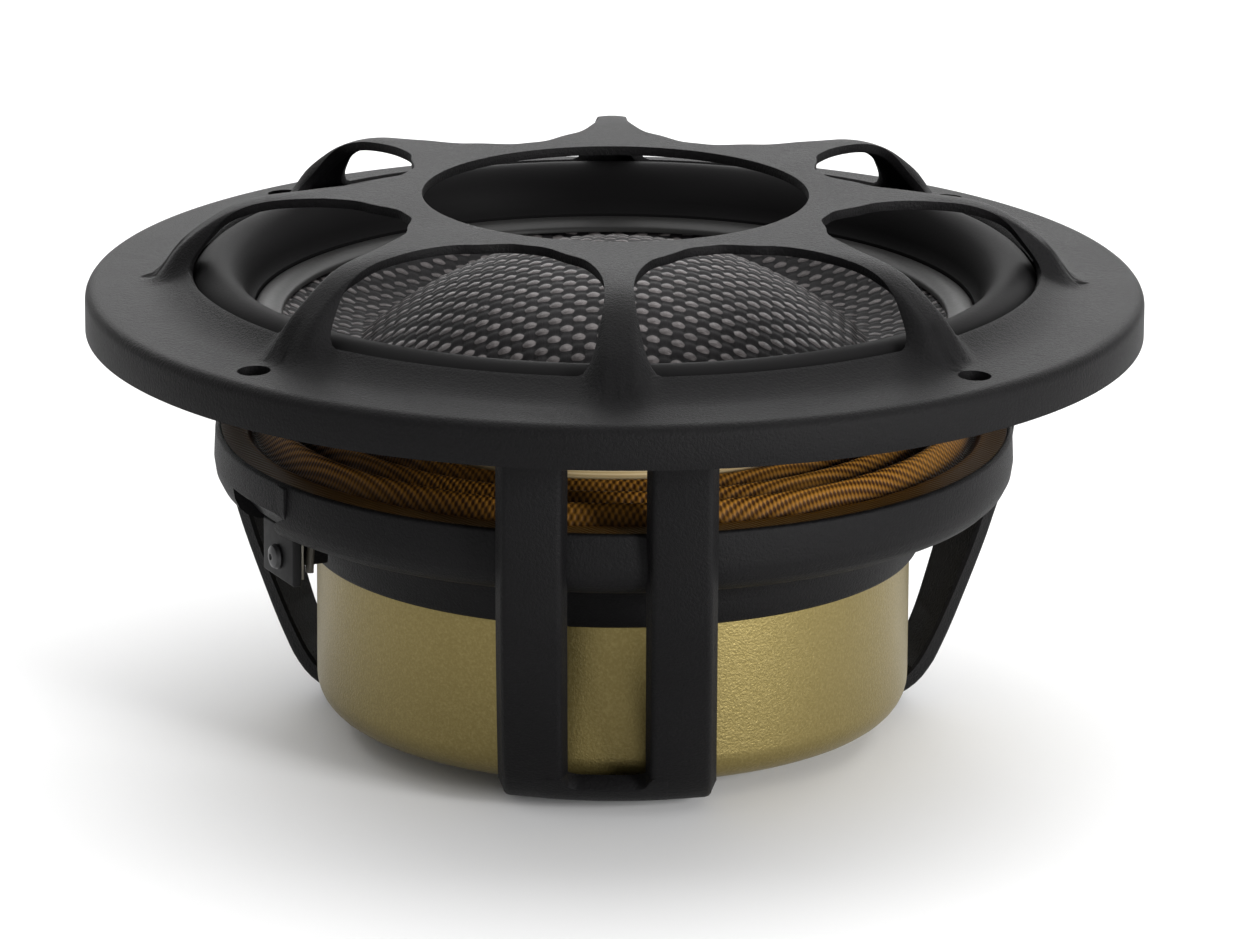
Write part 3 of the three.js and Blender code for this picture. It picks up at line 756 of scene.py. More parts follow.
def bridges():
    """The plates that join the feet of each pair, with rounded corners under the window."""
    path = smooth_run(LEG_PATH, 240)
    path = path[path[:, 1] < BRIDGE_TOP + BRIDGE_CORNER + 1]
    lengths = np.concatenate([[0], np.cumsum(np.linalg.norm(np.diff(path, axis=0), axis=1))])
    sideways = np.linspace(-LEG_OFFSET + 2, LEG_OFFSET - 2, 41)
    gap = LEG_OFFSET - LEG_FRONT
    into = np.clip(abs(sideways) - (gap - BRIDGE_CORNER), 0, BRIDGE_CORNER)
    fillet = BRIDGE_CORNER - np.sqrt(BRIDGE_CORNER ** 2 - into ** 2)
    start = BRIDGE_CORNER + 1.2 - fillet
    rows = []
    for share in np.linspace(0, 1, 26) ** 1.3:
        reach = start + (lengths[-1] - start) * share
        radius = np.interp(reach, lengths, path[:, 0])
        height = np.interp(reach, lengths, path[:, 1])
        rows.append(np.stack([sideways, -radius, height], axis=1))
    plate = sheet("bridge", np.array(rows))
    if sum(face.normal.y for face in plate.data.polygons) > 0:
        plate.data.flip_normals()
    apply_modifier(plate, "SOLIDIFY", thickness=BRIDGE_THICK * MM, offset=-1, use_even_offset=False)
    seated_foot(plate)
    rounded(plate, BRIDGE_EDGE, 2, 50)
    found = [plate] + [turned_copy(plate, 360 / PAIRS * i) for i in range(1, PAIRS)]
    for piece in found:
        piece.data.transform(Matrix.Rotation(math.radians(BASKET_CLOCK), 4, "Z"))
    return found


# %% [markdown]
# ## Basket: base plate and terminal pad
# A flat ring joins the three pairs under the can, with pockets for the heads of the motor screws.
# A flat pad on the left of the landing ring stands over the terminal board, and a post behind the
# board takes its rivet. The pad is lofted through level outlines, because its sides flare. All the
# cast parts are joined, because on the real part they are one piece.

# %% Basket
BASE_R = 28.5
BASE_HOLE = 13.0
MOTOR_SCREW_AZIMUTHS = (60, 180, 300)
MOTOR_HOLE_R = 2.3
HEAD_POCKET_R = 4.1
HEAD_POCKET = 2.2
MOTOR_SCREW_CIRCLE = (low("motor_screw_1") + high("motor_screw_1")).xy.length / 2


def base_plate():
    plate = spun("base", [(BASE_HOLE, 0), (BASE_R, 0), (BASE_R, BASE_THICK), (BASE_HOLE, BASE_THICK)])
    for azimuth in MOTOR_SCREW_AZIMUTHS:
        cut(plate, rod(azimuth, MOTOR_SCREW_CIRCLE, HEAD_POCKET_R, -1, HEAD_POCKET))
        cut(plate, rod(azimuth, MOTOR_SCREW_CIRCLE, MOTOR_HOLE_R, 1, 5))
    rounded(plate, 0.4)
    return plate


def block(name, width, radii, levels, azimuth, edge):
    """A radial block with rounded edges, in millimetres."""
    deselect()
    bpy.ops.mesh.primitive_cube_add(size=1)
    piece = bpy.context.active_object
    piece.name = name
    piece.data.name = name
    inner, outer = radii
    low_z, high_z = levels
    piece.scale = (width * MM, (outer - inner) * MM, (high_z - low_z) * MM)
    piece.location = (0, -(inner + outer) / 2 * MM, (low_z + high_z) / 2 * MM)
    settle(piece)
    rounded(piece, edge, 3, 40)
    piece.data.transform(Matrix.Rotation(math.radians(azimuth), 4, "Z"))
    return piece


POST_WIDTH = 3.4


def terminal_pad():
    """The flat pad on the ring above the board, and the post that the rivet goes into."""
    root, face = RING_R - 3.6, RING_R - 0.65
    pad = lofted("pad", [radial_level(PAD_LOW - 2.2, root, face - 2.4, -9, 9.2),
                         radial_level(PAD_LOW - 0.4, root, face - 0.3, -9, 12.2),
                         radial_level(PAD_LOW + 0.6, root, face, -9, 12.6),
                         radial_level(SEAT_Z - 0.4, root, face, -9, 12.6)])
    rounded(pad, 0.35, 3, 30)
    pad.data.transform(Matrix.Rotation(math.radians(TERMINAL_AZIMUTH), 4, "Z"))
    post = block("post", POST_WIDTH, (BOARD_FACE - 8, BOARD_FACE - 1.9), (BOARD_LOW + 2, SEAT_Z - 9),
                 TERMINAL_AZIMUTH, 0.3)
    return [pad, post]


cast_parts = [landing_ring(), flange_ring(), base_plate(), *terminal_pad(), *bridges(), *legs()]
basket = joined("basket_casting", cast_parts)
finished(basket, black_casting, "frame", ["basket"])

# %% [markdown]
# ## Motor can
# The can is turned steel with a large radius at its lower edge, a hole in the middle of its floor
# and a thin paint the colour of pale brass. The paint lies over a blasted surface, so on the real can
# it sparkles in small grains where the light strikes it and looks smooth in the shade. Here the
# grains are bumps, and lighter specks painted into the colour everywhere are painted glints. A
# bevelled cylinder would give the outside, but the spun profile also holds the bore that the
# magnets sit in.

# %% Motor can
CAN_BORE_R = 40.5
CAN_FLOOR = 6.4
CAN_EDGE = 5.5
CAN_RIM_EDGE = 0.6
VENT_R = 8
TAPPED_TOP = 7.9


def can_finish():
    finish = Finish("gold_can", Metallic=0.75, IOR=1.5)
    blast = finish.noise(3400.0, 3.0, 0.65)
    pits_and_glints = finish.noise(2300.0, 2.0, 0.6)
    cloudy = finish.noise(28.0, 3.0, 0.5)
    colour = cloudy.mix((0.155, 0.12, 0.038), (0.185, 0.144, 0.048))
    # Lighter specks where the pits noise is high are painted glints of the blasted grain; the same noise also
    # makes the bump pits.
    finish.feed(Base_Color=(pits_and_glints.band(0.35, 0.8) * 0.3).mix(colour, (0.34, 0.275, 0.12)))
    finish.feed(Roughness=0.30 + blast * 0.18)
    finish.bump(blast * 0.6 + pits_and_glints * 0.8, 0.00014, 0.6)
    return finish.material


def motor_can():
    edge = arc(CAN_R - CAN_EDGE, CAN_LOW + CAN_EDGE, CAN_EDGE, -90, 0, 9)
    floor_top = CAN_LOW + CAN_FLOOR
    outline = [(VENT_R, CAN_LOW), (MOTOR_SCREW_CIRCLE, CAN_LOW), *edge, (CAN_R, CAN_TOP - CAN_RIM_EDGE),
               (CAN_R - CAN_RIM_EDGE, CAN_TOP), (CAN_BORE_R, CAN_TOP), (CAN_BORE_R, floor_top),
               (VENT_R, floor_top)]
    can = spun("motor_can_shell", outline)
    for azimuth in MOTOR_SCREW_AZIMUTHS:
        cut(can, rod(azimuth, MOTOR_SCREW_CIRCLE, MOTOR_HOLE_R, 0, TAPPED_TOP))
    rounded(can, 0.3, 2, 50)
    return can


finished(motor_can(), can_finish(), "frame", ["motor_can"])

# %% [markdown]
# ## Surround
# The roll of the surround is soft rubber, half an ellipse across, with a flat foot on each side.
# Its profile is spun and the outer foot runs under the trim ring. A share of each vertex for following
# the cone is worked out by its radius, but nothing uses it. A moulded roll keeps its shape at rest,
# so no cloth simulation is needed.

# %% Surround
def bend_outwards(piece, inner_r, outer_r):
    """Bakes a round piece's place into its mesh and works out a share by radius for following the cone, which
    is not used.
    """
    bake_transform(piece)
    radii = np.linalg.norm(coordinates(piece)[:, :2], axis=1)
    share = 1 - soft_step(radii, inner_r, outer_r)


def rubber_finish():
    finish = Finish("rubber_surround", Metallic=0.0, IOR=1.12, Specular_IOR_Level=0.5)
    fine = finish.noise(1900.0, 2.0, 0.6)
    cloudy = finish.noise(45.0, 3.0, 0.5)
    finish.feed(Base_Color=cloudy.mix((0.0045, 0.0043, 0.0045), (0.0075, 0.0073, 0.0075)))
    finish.feed(Roughness=0.5 + cloudy * 0.1 + fine * 0.06)
    finish.bump(fine, 0.00004, 0.5)
    return finish.material


ROLL_R = 63.9
ROLL_HALF = 5.2
ROLL_HEIGHT = 7.8
ROLL_WALL = 0.9
ROLL_POINTS = 22
SURROUND_INNER_R = 58.0
SURROUND_OUTER_R = 74.5
MOVES_INSIDE_R = 58.6
FIXED_OUTSIDE_R = 69.5


def roll(inset):
    """Half an ellipse across the roll, at a depth below its outer skin."""
    across, up = ROLL_HALF - inset, ROLL_HEIGHT - inset
    angles = np.linspace(math.pi, 0, ROLL_POINTS)
    return [(ROLL_R + across * math.cos(a), FLANGE_Z + FLANGE_THICK + up * math.sin(a)) for a in angles]


def surround_outline():
    foot = FLANGE_Z + FLANGE_THICK + 0.3
    top = foot + ROLL_WALL
    return [(SURROUND_INNER_R, foot), *roll(0)[1:-1], (ROLL_R + ROLL_HALF + 0.3, top + 0.4),
            (ROLL_R + ROLL_HALF + 1.2, top), (SURROUND_OUTER_R, top), (SURROUND_OUTER_R, foot),
            (ROLL_R + ROLL_HALF - 0.4, foot), *roll(ROLL_WALL)[::-1][1:-1],
            (SURROUND_INNER_R, foot - ROLL_WALL)]


surround = spun("surround_roll", surround_outline(), 256)
smooth(surround)
surround.data.materials.append(rubber_finish())
bend_outwards(surround, MOVES_INSIDE_R, FIXED_OUTSIDE_R)
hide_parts("surround")

# %% [markdown]
# ## Edge ring
# A narrow ring with a satin coat covers the joint between the cloth and the surround. It could be a
# band of colour on the cloth, but the real one is a thin step, so it is turned as its own piece.

# %% Edge ring
CLOTH_R = 53.4


def ring_finish():
    finish = Finish("edge_ring_paint", Metallic=0.0, IOR=1.5, Specular_IOR_Level=0.3)
    fine = finish.noise(1400.0, 2.0, 0.5)
    finish.feed(Base_Color=finish.noise(50.0).mix((0.012, 0.0117, 0.0114), (0.018, 0.0175, 0.017)))
    finish.feed(Roughness=0.42 + fine * 0.1)
    finish.bump(fine, 0.00004, 0.4)
    return finish.material


def edge_ring():
    low_z = low("edge_ring").z
    outline = [(CLOTH_R, low_z), (57.7, low_z + 0.8), (57.7, low_z + 1.5), (57.2, low_z + 1.75),
               (55.5, low_z + 1.45), (53.8, low_z + 0.95), (CLOTH_R, low_z + 0.6)]
    return spun("edge_band", outline, 256)


finished(edge_ring(), ring_finish(), "cone", ["edge_ring"], 50)

# %% [markdown]
# ## Diaphragm: woven dome
# The dome and the slope round it are one sheet of plain weave in clear resin. Its flat bundles of
# fibre, the tows, really cross over and under. A bump pattern alone would leave the edge of the
# dome smooth, so a fine grid is cut to a circle and lifted to the dome, and each point then rises
# or sinks with the tow that is on top there. The finish adds the fibres and the gaps, with a painted
# sheen on the tows along X and painted shade in the holes between the tows.

# %% Weave
TOW = 1.95
TOW_HEIGHT = 0.4
WEAVE_TURN = math.radians(-1.5)
DOME_R = 40.0
DOME_STEP = 0.6
VALLEY_Z = FLANGE_Z - 3
SLOPE = ((DOME_R, 0.0), (43.5, 0.1), (47.5, 1.2), (CLOTH_R, 4.0), (CONE_R, 5.0))
CLOTH_STEP = TOW / 5
CLOTH_WALL = 1.0
BACK_RADII = (CONE_R - 0.05, CLOTH_R, 47.5, 43.5, DOME_R, 32, 22, 12, 4, 0)


def skin_height(radius):
    """Height of the cloth's middle: the dome, the valley round it and the slope up to the edge."""
    dome_rise = DOME_TOP - VALLEY_Z - DOME_STEP
    sphere = (DOME_R ** 2 + dome_rise ** 2) / (2 * dome_rise)
    dome = VALLEY_Z + DOME_STEP + dome_rise - sphere + np.sqrt(np.maximum(sphere ** 2 - radius ** 2, 0))
    radii, rise = np.array(SLOPE).T
    return np.maximum(dome, np.interp(radius, radii, rise + VALLEY_Z))


def weave_height(across, along):
    """Height of the tow on top: one set runs along X and the other along Y, by turns."""
    u, v = across / TOW, along / TOW
    flat = np.floor(u) + np.floor(v)
    weft_wave = np.sin(np.pi * u) * np.where(np.floor(v) % 2 == 0, 1, -1)
    warp_wave = -np.sin(np.pi * v) * np.where(np.floor(u) % 2 == 0, 1, -1)
    weft_round = np.sqrt(np.maximum(1 - (1.9 * (v - np.floor(v) - 0.5)) ** 2, 0))
    warp_round = np.sqrt(np.maximum(1 - (1.9 * (u - np.floor(u) - 0.5)) ** 2, 0))
    weft = 0.55 * weft_wave + 0.75 * weft_round
    warp = 0.55 * warp_wave + 0.75 * warp_round
    return np.maximum(weft, warp) * TOW_HEIGHT


def diaphragm():
    count = int(2 * CONE_R / CLOTH_STEP) + 2
    line = (np.arange(count + 1) - count / 2) * CLOTH_STEP
    grid_x, grid_y = np.meshgrid(line, line)
    skin = sheet("woven_dome", np.stack([grid_x, grid_y, np.zeros_like(grid_x)], axis=2))
    deselect()
    skin.select_set(True)
    bpy.context.view_layer.objects.active = skin
    points = coordinates(skin)
    radii = np.linalg.norm(points[:, :2], axis=1)
    bpy.ops.object.mode_set(mode="EDIT")
    bpy.ops.mesh.select_mode(type="VERT")
    bpy.ops.mesh.select_all(action="DESELECT")
    bpy.ops.object.mode_set(mode="OBJECT")
    skin.data.vertices.foreach_set("select", radii > CONE_R)
    bpy.ops.object.mode_set(mode="EDIT")
    bpy.ops.mesh.delete(type="VERT")
    bpy.ops.mesh.select_all(action="SELECT")
    bpy.ops.mesh.region_to_loop()
    bpy.ops.object.mode_set(mode="OBJECT")
    points = coordinates(skin)
    radii = np.linalg.norm(points[:, :2], axis=1)
    edge = np.empty(len(points), bool)
    skin.data.vertices.foreach_get("select", edge)
    points[edge, :2] *= (CONE_R / radii[edge])[:, None]
    radii = np.linalg.norm(points[:, :2], axis=1)
    turned_x = points[:, 0] * math.cos(WEAVE_TURN) + points[:, 1] * math.sin(WEAVE_TURN)
    turned_y = -points[:, 0] * math.sin(WEAVE_TURN) + points[:, 1] * math.cos(WEAVE_TURN)
    lift = weave_height(turned_x, turned_y) - TOW_HEIGHT * 1.3
    points[:, 2] = skin_height(radii) + lift * (radii < CONE_R - 0.3)
    set_coordinates(skin, points)
    for radius in BACK_RADII:
        count = len(skin.data.vertices)
        bpy.ops.object.mode_set(mode="EDIT")
        bpy.ops.mesh.select_mode(type="EDGE")
        bpy.ops.mesh.extrude_edges_move(TRANSFORM_OT_translate={"value": (0, 0, 0)})
        bpy.ops.object.mode_set(mode="OBJECT")
        points = coordinates(skin)
        fresh = points[count:]
        fresh[:, :2] *= radius / np.maximum(np.linalg.norm(fresh[:, :2], axis=1, keepdims=True), 0.001)
        fresh[:, 2] = float(skin_height(np.array(radius))) - CLOTH_WALL
        set_coordinates(skin, points)
    fresh_normals(skin)
    return skin


def weave_finish():
    """Colour by tow: a painted sheen lightens a tow along X where it is on top; one along Y stays dark."""
    finish = Finish("woven_fibre", IOR=1.22, Coat_Roughness=0.22)
    x, y = finish.axis(0), finish.axis(1)
    u = (x * math.cos(WEAVE_TURN) + y * math.sin(WEAVE_TURN)) / (TOW * MM)
    v = (y * math.cos(WEAVE_TURN) - x * math.sin(WEAVE_TURN)) / (TOW * MM)
    cell_u = finish.start.sum("FLOOR", u)
    cell_v = finish.start.sum("FLOOR", v)
    edge_u = finish.start.sum("ABSOLUTE", u - cell_u - 0.5)
    edge_v = finish.start.sum("ABSOLUTE", v - cell_v - 0.5)
    parity = finish.start.sum("PINGPONG", cell_u + cell_v, 1.0)
    on_top = 1 - parity
    cell = finish.start.node("ShaderNodeCombineXYZ", {}, {"X": cell_u * 7.3, "Y": cell_v * 3.1})
    tone = finish.start.node("ShaderNodeTexWhiteNoise", {"noise_dimensions": "3D"}, {"Vector": cell})
    along_x = finish.start.node("ShaderNodeCombineXYZ", {}, {"X": u * 0.9, "Y": v * 22.0})
    along_y = finish.start.node("ShaderNodeCombineXYZ", {}, {"X": u * 22.0, "Y": v * 0.9})
    fibre_x = finish.noise(1.0, 2.0, 0.6, along_x)
    fibre_y = finish.noise(1.0, 2.0, 0.6, along_y)
    # Tows along X get a painted sheen: their light grey stands in for the reflection along the fibres.
    painted_sheen_tow = (fibre_x.band(0.3, 0.75) * 0.6 + tone * 0.4).mix((0.045, 0.04, 0.04), (0.18, 0.163, 0.162))
    dark = (fibre_y * 0.6 + tone * 0.4).mix((0.002, 0.0018, 0.0022), (0.012, 0.0105, 0.0115))
    from_float = on_top * edge_u + parity * (1 - edge_u)
    reach = from_float * from_float * 2.9 + edge_v * edge_v * 6.4
    float_mask = 1 - reach.band(0.66, 1.0)
    # The holes between the tows are painted near-black: painted shade in the recesses of the weave.
    gap = (1 - float_mask) * (edge_u * edge_u + edge_v * edge_v).band(0.26, 0.42)
    finish.feed(Base_Color=gap.mix(float_mask.mix(dark, painted_sheen_tow), (0.001, 0.001, 0.001)))
    finish.feed(Metallic=float_mask * 0.35)
    finish.feed(Roughness=0.5 - float_mask * 0.14 + fibre_x * 0.1)
    finish.feed(Coat_Weight=float_mask * 0.1)
    cushion = 1 - finish.start.sum("MINIMUM", reach, 1.0)
    finish.bump(cushion + (fibre_x * on_top + fibre_y * parity) * 0.25, 0.0005, 0.8)
    return finish.material


finished(diaphragm(), weave_finish(), "cone", ["diaphragm"], 60)

# %% [markdown]
# ## Coil former and voice coil
# The former is a thin pale tube that joins the cone to the coil. It shows above the spider, with a
# bead of glue where they meet. The coil is copper wire. A smooth sleeve with stripes would do from
# afar, but a spun profile of small arcs catches the light on each turn.

# %% Former and coil
def banded_finish(name, first, second, pitch, rough, metallic, depth):
    """A finish of fine level rings, for a wound tube or wire."""
    finish = Finish(name, Metallic=metallic, IOR=1.5)
    z = finish.axis(2)
    rings = finish.start.sum("SINE", z * (2 * math.pi / (pitch * MM))) * 0.5 + 0.5
    cloudy = finish.noise(120.0, 3.0, 0.5)
    finish.feed(Base_Color=(rings * 0.7 + cloudy * 0.3).mix(first, second))
    finish.feed(Roughness=rough + cloudy * 0.12)
    finish.bump(rings, depth * MM, 0.6)
    return finish.material


FORMER_WALL = 0.5
GLUE = 0.25
COIL_TURNS = 26


def coil_former():
    top = high("coil_former").z
    bottom = low("coil_former").z
    seat = SEAT_Z + 1.4
    outline = [(FORMER_R - FORMER_WALL, bottom), (FORMER_R, bottom), (FORMER_R, seat - 0.4),
               (FORMER_R + GLUE, seat), (FORMER_R + GLUE, seat + 2.2), (FORMER_R, seat + 2.6),
               (FORMER_R, top - 1.8), (FORMER_R + 0.6, top - 0.9), (FORMER_R + 0.9, top - 0.1),
               (FORMER_R - FORMER_WALL, top)]
    return spun("former_tube", outline)


def voice_coil():
    inner, outer = FORMER_R + 0.15, high("voice_coil").x
    bottom, top = low("voice_coil").z, high("voice_coil").z
    pitch = (top - bottom) / COIL_TURNS
    wires = []
    for i in range(COIL_TURNS):
        wires += arc(outer - pitch / 2, bottom + pitch * (i + 0.5), pitch / 2, -80, 80, 4)
    return spun("voice_winding", [(inner, bottom), *wires, (inner, top)], 96)


former_fibre = banded_finish("coil_former_fibre", (0.50, 0.36, 0.17), (0.72, 0.58, 0.34),
                             0.55, 0.32, 0.0, 0.05)
copper = banded_finish("copper", (0.42, 0.15, 0.06), (0.72, 0.32, 0.14), 0.5, 0.28, 0.9, 0.02)
finished(coil_former(), former_fibre, "cone", ["coil_former"])
finished(voice_coil(), copper, "cone", ["voice_coil"], 60)

# %% [markdown]
# ## Spider
# The spider is an amber cloth pressed into three rings, which centres the coil. It could be a grid
# pushed down by a cloth simulation, but a pressed and cured cloth has one exact profile, so its
# waves are spun. Its outer land is glued to the landing ring, just behind the lip.

# %% Spider
THREAD = 0.54
THREAD_TURN = math.radians(-7)
SPIDER_WAVES = 3
SPIDER_WAVE = 1.9
SPIDER_WALL = 0.6
SPIDER_FIXED_R = 59.9


def spider_finish():
    finish = Finish("spider_cloth", Metallic=0.0, IOR=1.45, Specular_IOR_Level=0.15)
    x, y, z = [finish.axis(i) for i in range(3)]
    u = (x * math.cos(THREAD_TURN) + y * math.sin(THREAD_TURN)) * (math.pi / (THREAD * MM))
    v = (y * math.cos(THREAD_TURN) - x * math.sin(THREAD_TURN)) * (math.pi / (THREAD * MM))
    over = finish.start.sum("SINE", u) * finish.start.sum("SINE", v)
    threads = over * 0.5 + 0.5
    cloudy = finish.noise(70.0, 3.0, 0.55)
    radius = finish.start.sum("SQRT", x * x + y * y) / MM
    glue = radius.band(59.2, 60.6)
    colour = threads.band(0.15, 0.95).mix((0.027, 0.0085, 0.0008), (0.265, 0.117, 0.015))
    varied = (cloudy.band(0.35, 0.7) * 0.25).mix(colour, (0.22, 0.105, 0.017))
    # The lower parts of the waves are painted darker: painted shade in the valleys of the cloth.
    height = (z / MM).band(SEAT_Z - 2.2, SEAT_Z + 1.6)
    shaded = (0.22 + height * 0.78).mix((0.012, 0.004, 0.0005), varied)
    finish.feed(Base_Color=(glue * 0.85).mix(shaded, (0.06, 0.03, 0.006)))
    finish.feed(Roughness=0.6 - glue * 0.15 - threads * 0.12)
    finish.bump(threads * (1 - glue * 0.6), 0.0002, 0.9)
    return finish.material


def spider():
    inner, outer = FORMER_R + 0.3, RING_R - 0.95
    lie = SEAT_Z - SEAT_DROP
    start, stop = inner + 1.2, RING_R - 4.6

    def line(offset):
        run = []
        for share in np.linspace(0, 1, 72):
            fade = min(1, share / 0.08, (1 - share) / 0.06)
            wave = SPIDER_WAVE * fade * math.sin(share * SPIDER_WAVES * 2 * math.pi)
            run.append((start + (stop - start) * share, lie + offset + 0.5 * fade + wave))
        return [(inner, lie + offset + 0.6), *run, (outer, lie + offset)]
    return spun("spider_disc", [*line(SPIDER_WALL), *line(0)[::-1]], 240)


spider_piece = spider()
smooth(spider_piece, 60)
spider_piece.data.materials.append(spider_finish())
bend_outwards(spider_piece, FORMER_R + 1.2, SPIDER_FIXED_R)
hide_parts("spider")

# %% [markdown]
# ## Finishes of the small parts
# Tinned tabs, plated steel, ground magnet, braid and moulded board differ in tone and shine but
# are alike in kind: a fine grain over a slow change of tone. One function makes them all, since a
# separate tree of nodes for each would say the same thing six times.

# %% Small finishes
def worn_finish(name, first, second, rough, metallic, grain=700.0, depth=0.03):
    finish = Finish(name, Metallic=metallic, IOR=1.5)
    fine = finish.noise(grain, 3.0, 0.6)
    cloudy = finish.noise(90.0, 3.0, 0.5)
    finish.feed(Base_Color=(cloudy * 0.6 + fine * 0.4).mix(first, second))
    finish.feed(Roughness=rough + fine * 0.15)
    finish.bump(fine, depth * MM, 0.5)
    return finish.material


board_plastic = worn_finish("board_plastic", (0.005, 0.005, 0.0053), (0.010, 0.010, 0.0105), 0.5, 0.0)
board_plastic.node_tree.nodes["Principled BSDF"].inputs["Specular IOR Level"].default_value = 0.15
tinned_brass = worn_finish("tinned_brass", (0.17, 0.16, 0.135), (0.30, 0.285, 0.245), 0.36, 0.85)
plated_steel = worn_finish("plated_steel", (0.42, 0.43, 0.45), (0.60, 0.61, 0.63), 0.26, 0.95)
magnet_ferrite = worn_finish("magnet_ferrite", (0.03, 0.03, 0.032), (0.07, 0.07, 0.074), 0.6, 0.1)
dull_braid = worn_finish("dull_braid", (0.05, 0.045, 0.038), (0.13, 0.12, 0.10), 0.5, 0.5, 1500.0, 0.1)
rivet_dark = worn_finish("rivet_dark", (0.02, 0.02, 0.021), (0.06, 0.06, 0.062), 0.3, 0.6)

# %% [markdown]
# ## Terminals and leads
# The terminal board is a plain moulded plate held by a rivet, with two tinned tabs beside it. The
# board is a block with rounded edges, and the rivet's rolled head is turned, as a real one is
# formed. The tabs and the leads already have their true shape in the model, so copies of them are
# carried on. The leads are flexible braid.

# %% Terminals
BOARD_WIDTH = 12
BOARD_THICK = 1.6
LEAD_FIXED_R = 52


def button(name, azimuth, circle, radius, low_z, high_z, edge):
    """A short upright cylinder with rounded edges."""
    piece = rod(azimuth, circle, radius, low_z, high_z, 40)
    piece.name = name
    piece.data.name = name
    rounded(piece, edge, 3, 40)
    return piece


def terminal_board():
    return block("terminal_plate", BOARD_WIDTH, (BOARD_FACE - BOARD_THICK, BOARD_FACE),
                 (BOARD_LOW, BOARD_HIGH), TERMINAL_AZIMUTH, 0.45)


def rivet():
    outline = [(0.001, 0), (1.2, 0), (1.9, 0.0), (2.05, 0.35), (1.75, 0.95), (1.0, 1.3), (0.55, 1.3),
               (0.4, 0.9), (0.001, 0.85)]
    head = spun("rivet_head", outline, 32)
    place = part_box("terminal_rivet")
    middle = (place[0] + place[1]) / 2
    head.data.transform(Matrix.Rotation(math.radians(90), 4, "X"))
    head.data.transform(Matrix.Translation((0, -(BOARD_FACE + 0.05) * MM, middle.z)))
    head.data.transform(Matrix.Rotation(math.radians(TERMINAL_AZIMUTH), 4, "Z"))
    return head


def kept_shape(node, name, edge=0.0):
    """A merged copy of a node, to carry on from its shape."""
    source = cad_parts[node]
    copy = bpy.data.objects.new(name, source.data.copy())
    bpy.context.scene.collection.objects.link(copy)
    copy.data.name = name
    fresh_normals(copy)
    if edge:
        rounded(copy, edge, 2, 50)
    return copy


finished(terminal_board(), board_plastic, "frame", ["terminal_board"])
finished(rivet(), rivet_dark, "frame", ["terminal_rivet"])
for sign in ("positive", "negative"):
    node = "terminal_" + sign
    finished(kept_shape(node, "tab_" + sign, 0.15), tinned_brass, "frame", [node])
    lead = kept_shape("lead_" + sign, "braid_" + sign)
    smooth(lead, 60)
    lead.data.materials.clear()
    lead.data.materials.append(dull_braid)
    bend_outwards(lead, FORMER_R + 2, LEAD_FIXED_R)
    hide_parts("lead_" + sign)

# %% [markdown]
# ## Motor screws and vent screen
# Three screws pull the can onto the base plate: a low round head with a six-sided socket on a
# plain shank. Their threads are out of sight in the can, so none are cut. The vent in the floor
# has a wire screen. A grid cut to a circle and turned into wires by Wireframe has its real holes,
# which a plain disc with a pattern would lack.

# %% Motor screws and vent screen
HEAD_R = 3.8
HEAD_HEIGHT = 1.6
SOCKET_R = 1.9
SOCKET_DEPTH = 1.1
SHANK_R = 2.0
WIRE = 0.42
WIRES = 15


def motor_screw(number, azimuth):
    name, node = f"screw_{number}", f"motor_screw_{number}"
    head_low = low(node).z
    head = button(name, azimuth, MOTOR_SCREW_CIRCLE, HEAD_R, head_low, head_low + HEAD_HEIGHT, 0.3)
    cut(head, rod(azimuth, MOTOR_SCREW_CIRCLE, SOCKET_R, head_low - 1, head_low + SOCKET_DEPTH, 6))
    shank = button("shank", azimuth, MOTOR_SCREW_CIRCLE, SHANK_R, head_low + 1.2, high(node).z, 0.3)
    finished(joined(name, [head, shank]), plated_steel, "frame", [node])


for number, azimuth in enumerate(MOTOR_SCREW_AZIMUTHS, start=1):
    motor_screw(number, azimuth)


def vent_screen():
    """A woven screen: a grid cut to a circle, turned into wires."""
    radius = high("vent_screen").x - 0.4
    middle = (low("vent_screen").z + high("vent_screen").z) / 2
    line = np.linspace(-VENT_R, VENT_R, WIRES)
    grid_x, grid_y = np.meshgrid(line, line)
    screen = sheet("vent_wires", np.stack([grid_x, grid_y, np.full_like(grid_x, middle)], axis=2))
    points = coordinates(screen)
    deselect()
    screen.select_set(True)
    bpy.context.view_layer.objects.active = screen
    bpy.ops.object.mode_set(mode="EDIT")
    bpy.ops.mesh.select_mode(type="VERT")
    bpy.ops.mesh.select_all(action="DESELECT")
    bpy.ops.object.mode_set(mode="OBJECT")
    screen.data.vertices.foreach_set("select", np.linalg.norm(points[:, :2], axis=1) > radius)
    bpy.ops.object.mode_set(mode="EDIT")
    bpy.ops.mesh.delete(type="VERT")
    bpy.ops.object.mode_set(mode="OBJECT")
    apply_modifier(screen, "WIREFRAME", thickness=WIRE * MM, use_even_offset=False)
    inner, outer, half = radius - 0.9, radius + 0.3, 0.45
    rim = spun("vent_rim", [(inner, middle - half), (outer, middle - half), (outer, middle + half),
                            (inner, middle + half)], 48)
    return joined("vent_wires", [screen, rim])


finished(vent_screen(), tinned_brass, "frame", ["vent_screen"])

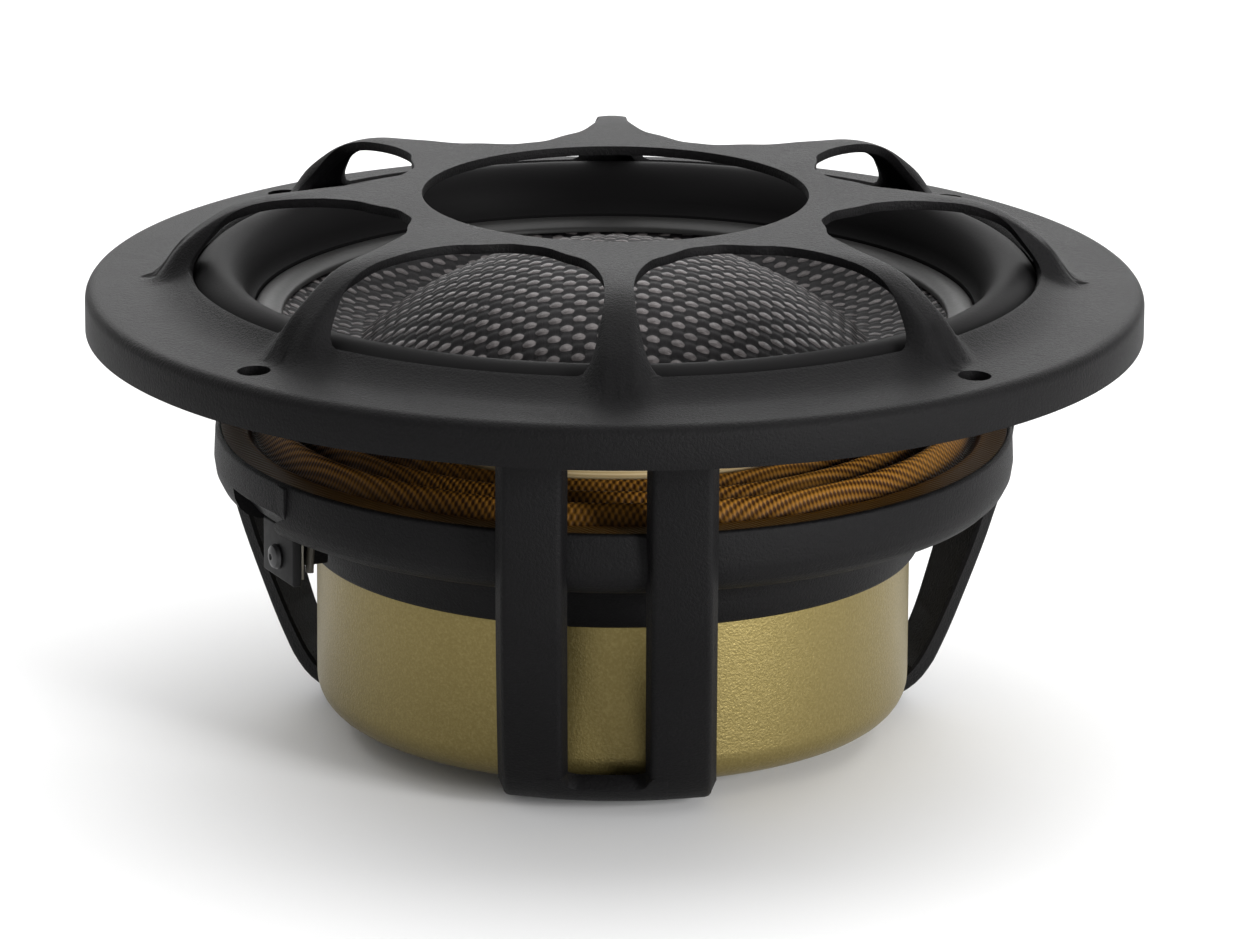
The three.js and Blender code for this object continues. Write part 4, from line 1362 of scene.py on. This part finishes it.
# %% [markdown]
# ## What stays as packed
# The magnets, the shorting ring and the pole plate are plain discs and rings, hidden in the can.
# They could be turned again with small edges, but nobody sees them, so they keep their packed
# meshes and only get their finishes.

# %% Kept nodes
KEPT = (("main_magnet", magnet_ferrite), ("shorting_ring", copper), ("pole_plate", plated_steel),
        ("front_magnet", plated_steel))
for node, material in KEPT:
    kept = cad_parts[node]
    kept.data.materials.clear()
    kept.data.materials.append(material)


# %% [markdown]
# ## Floor and light
# A large pale floor and three soft area lights make a plain studio: one overhead, one behind for
# the top of the rim, and a small one on the right that strikes the can. A curved backdrop would do
# as well, but the wide floor and an even world already meet without a line.

# %% Stage
def pale_floor():
    finish = Finish("pale_floor", Roughness=0.9)
    finish.feed(Base_Color=finish.noise(3.0).mix((0.86, 0.86, 0.86), (0.9, 0.9, 0.9)))
    deselect()
    bpy.ops.mesh.primitive_grid_add(x_subdivisions=4, y_subdivisions=4, size=12)
    floor = bpy.context.active_object
    floor.name = "floor"
    floor.data.materials.append(finish.material)


def soft_light(name, place, aim, size, power):
    data = bpy.data.lights.new(name, "AREA")
    data.shape = "RECTANGLE"
    data.size, data.size_y = size
    data.energy = power
    lamp = bpy.data.objects.new(name, data)
    bpy.context.scene.collection.objects.link(lamp)
    lamp.location = place
    lamp.rotation_mode = "QUATERNION"
    lamp.rotation_quaternion = (Vector(aim) - Vector(place)).to_track_quat("-Z", "Y")


pale_floor()
WORLD_STRENGTH = 0.55
soft_light("overhead", (0.0, 0.55, 1.3), (0, 0, 0.05), (2.6, 1.8), 24)
soft_light("behind", (0.1, 1.6, 0.62), (0, 0, 0.06), (1.8, 0.7), 13)
soft_light("right_side", (0.88, -0.88, 0.30), (0, 0, 0.03), (0.32, 0.45), 19)
world = bpy.data.worlds.new("studio")
bpy.context.scene.world = world
world.use_nodes = True
world.node_tree.nodes["Background"].inputs["Color"].default_value = (1, 1, 1, 1)
world.node_tree.nodes["Background"].inputs["Strength"].default_value = WORLD_STRENGTH
bpy.context.scene.view_settings.view_transform = "Standard"
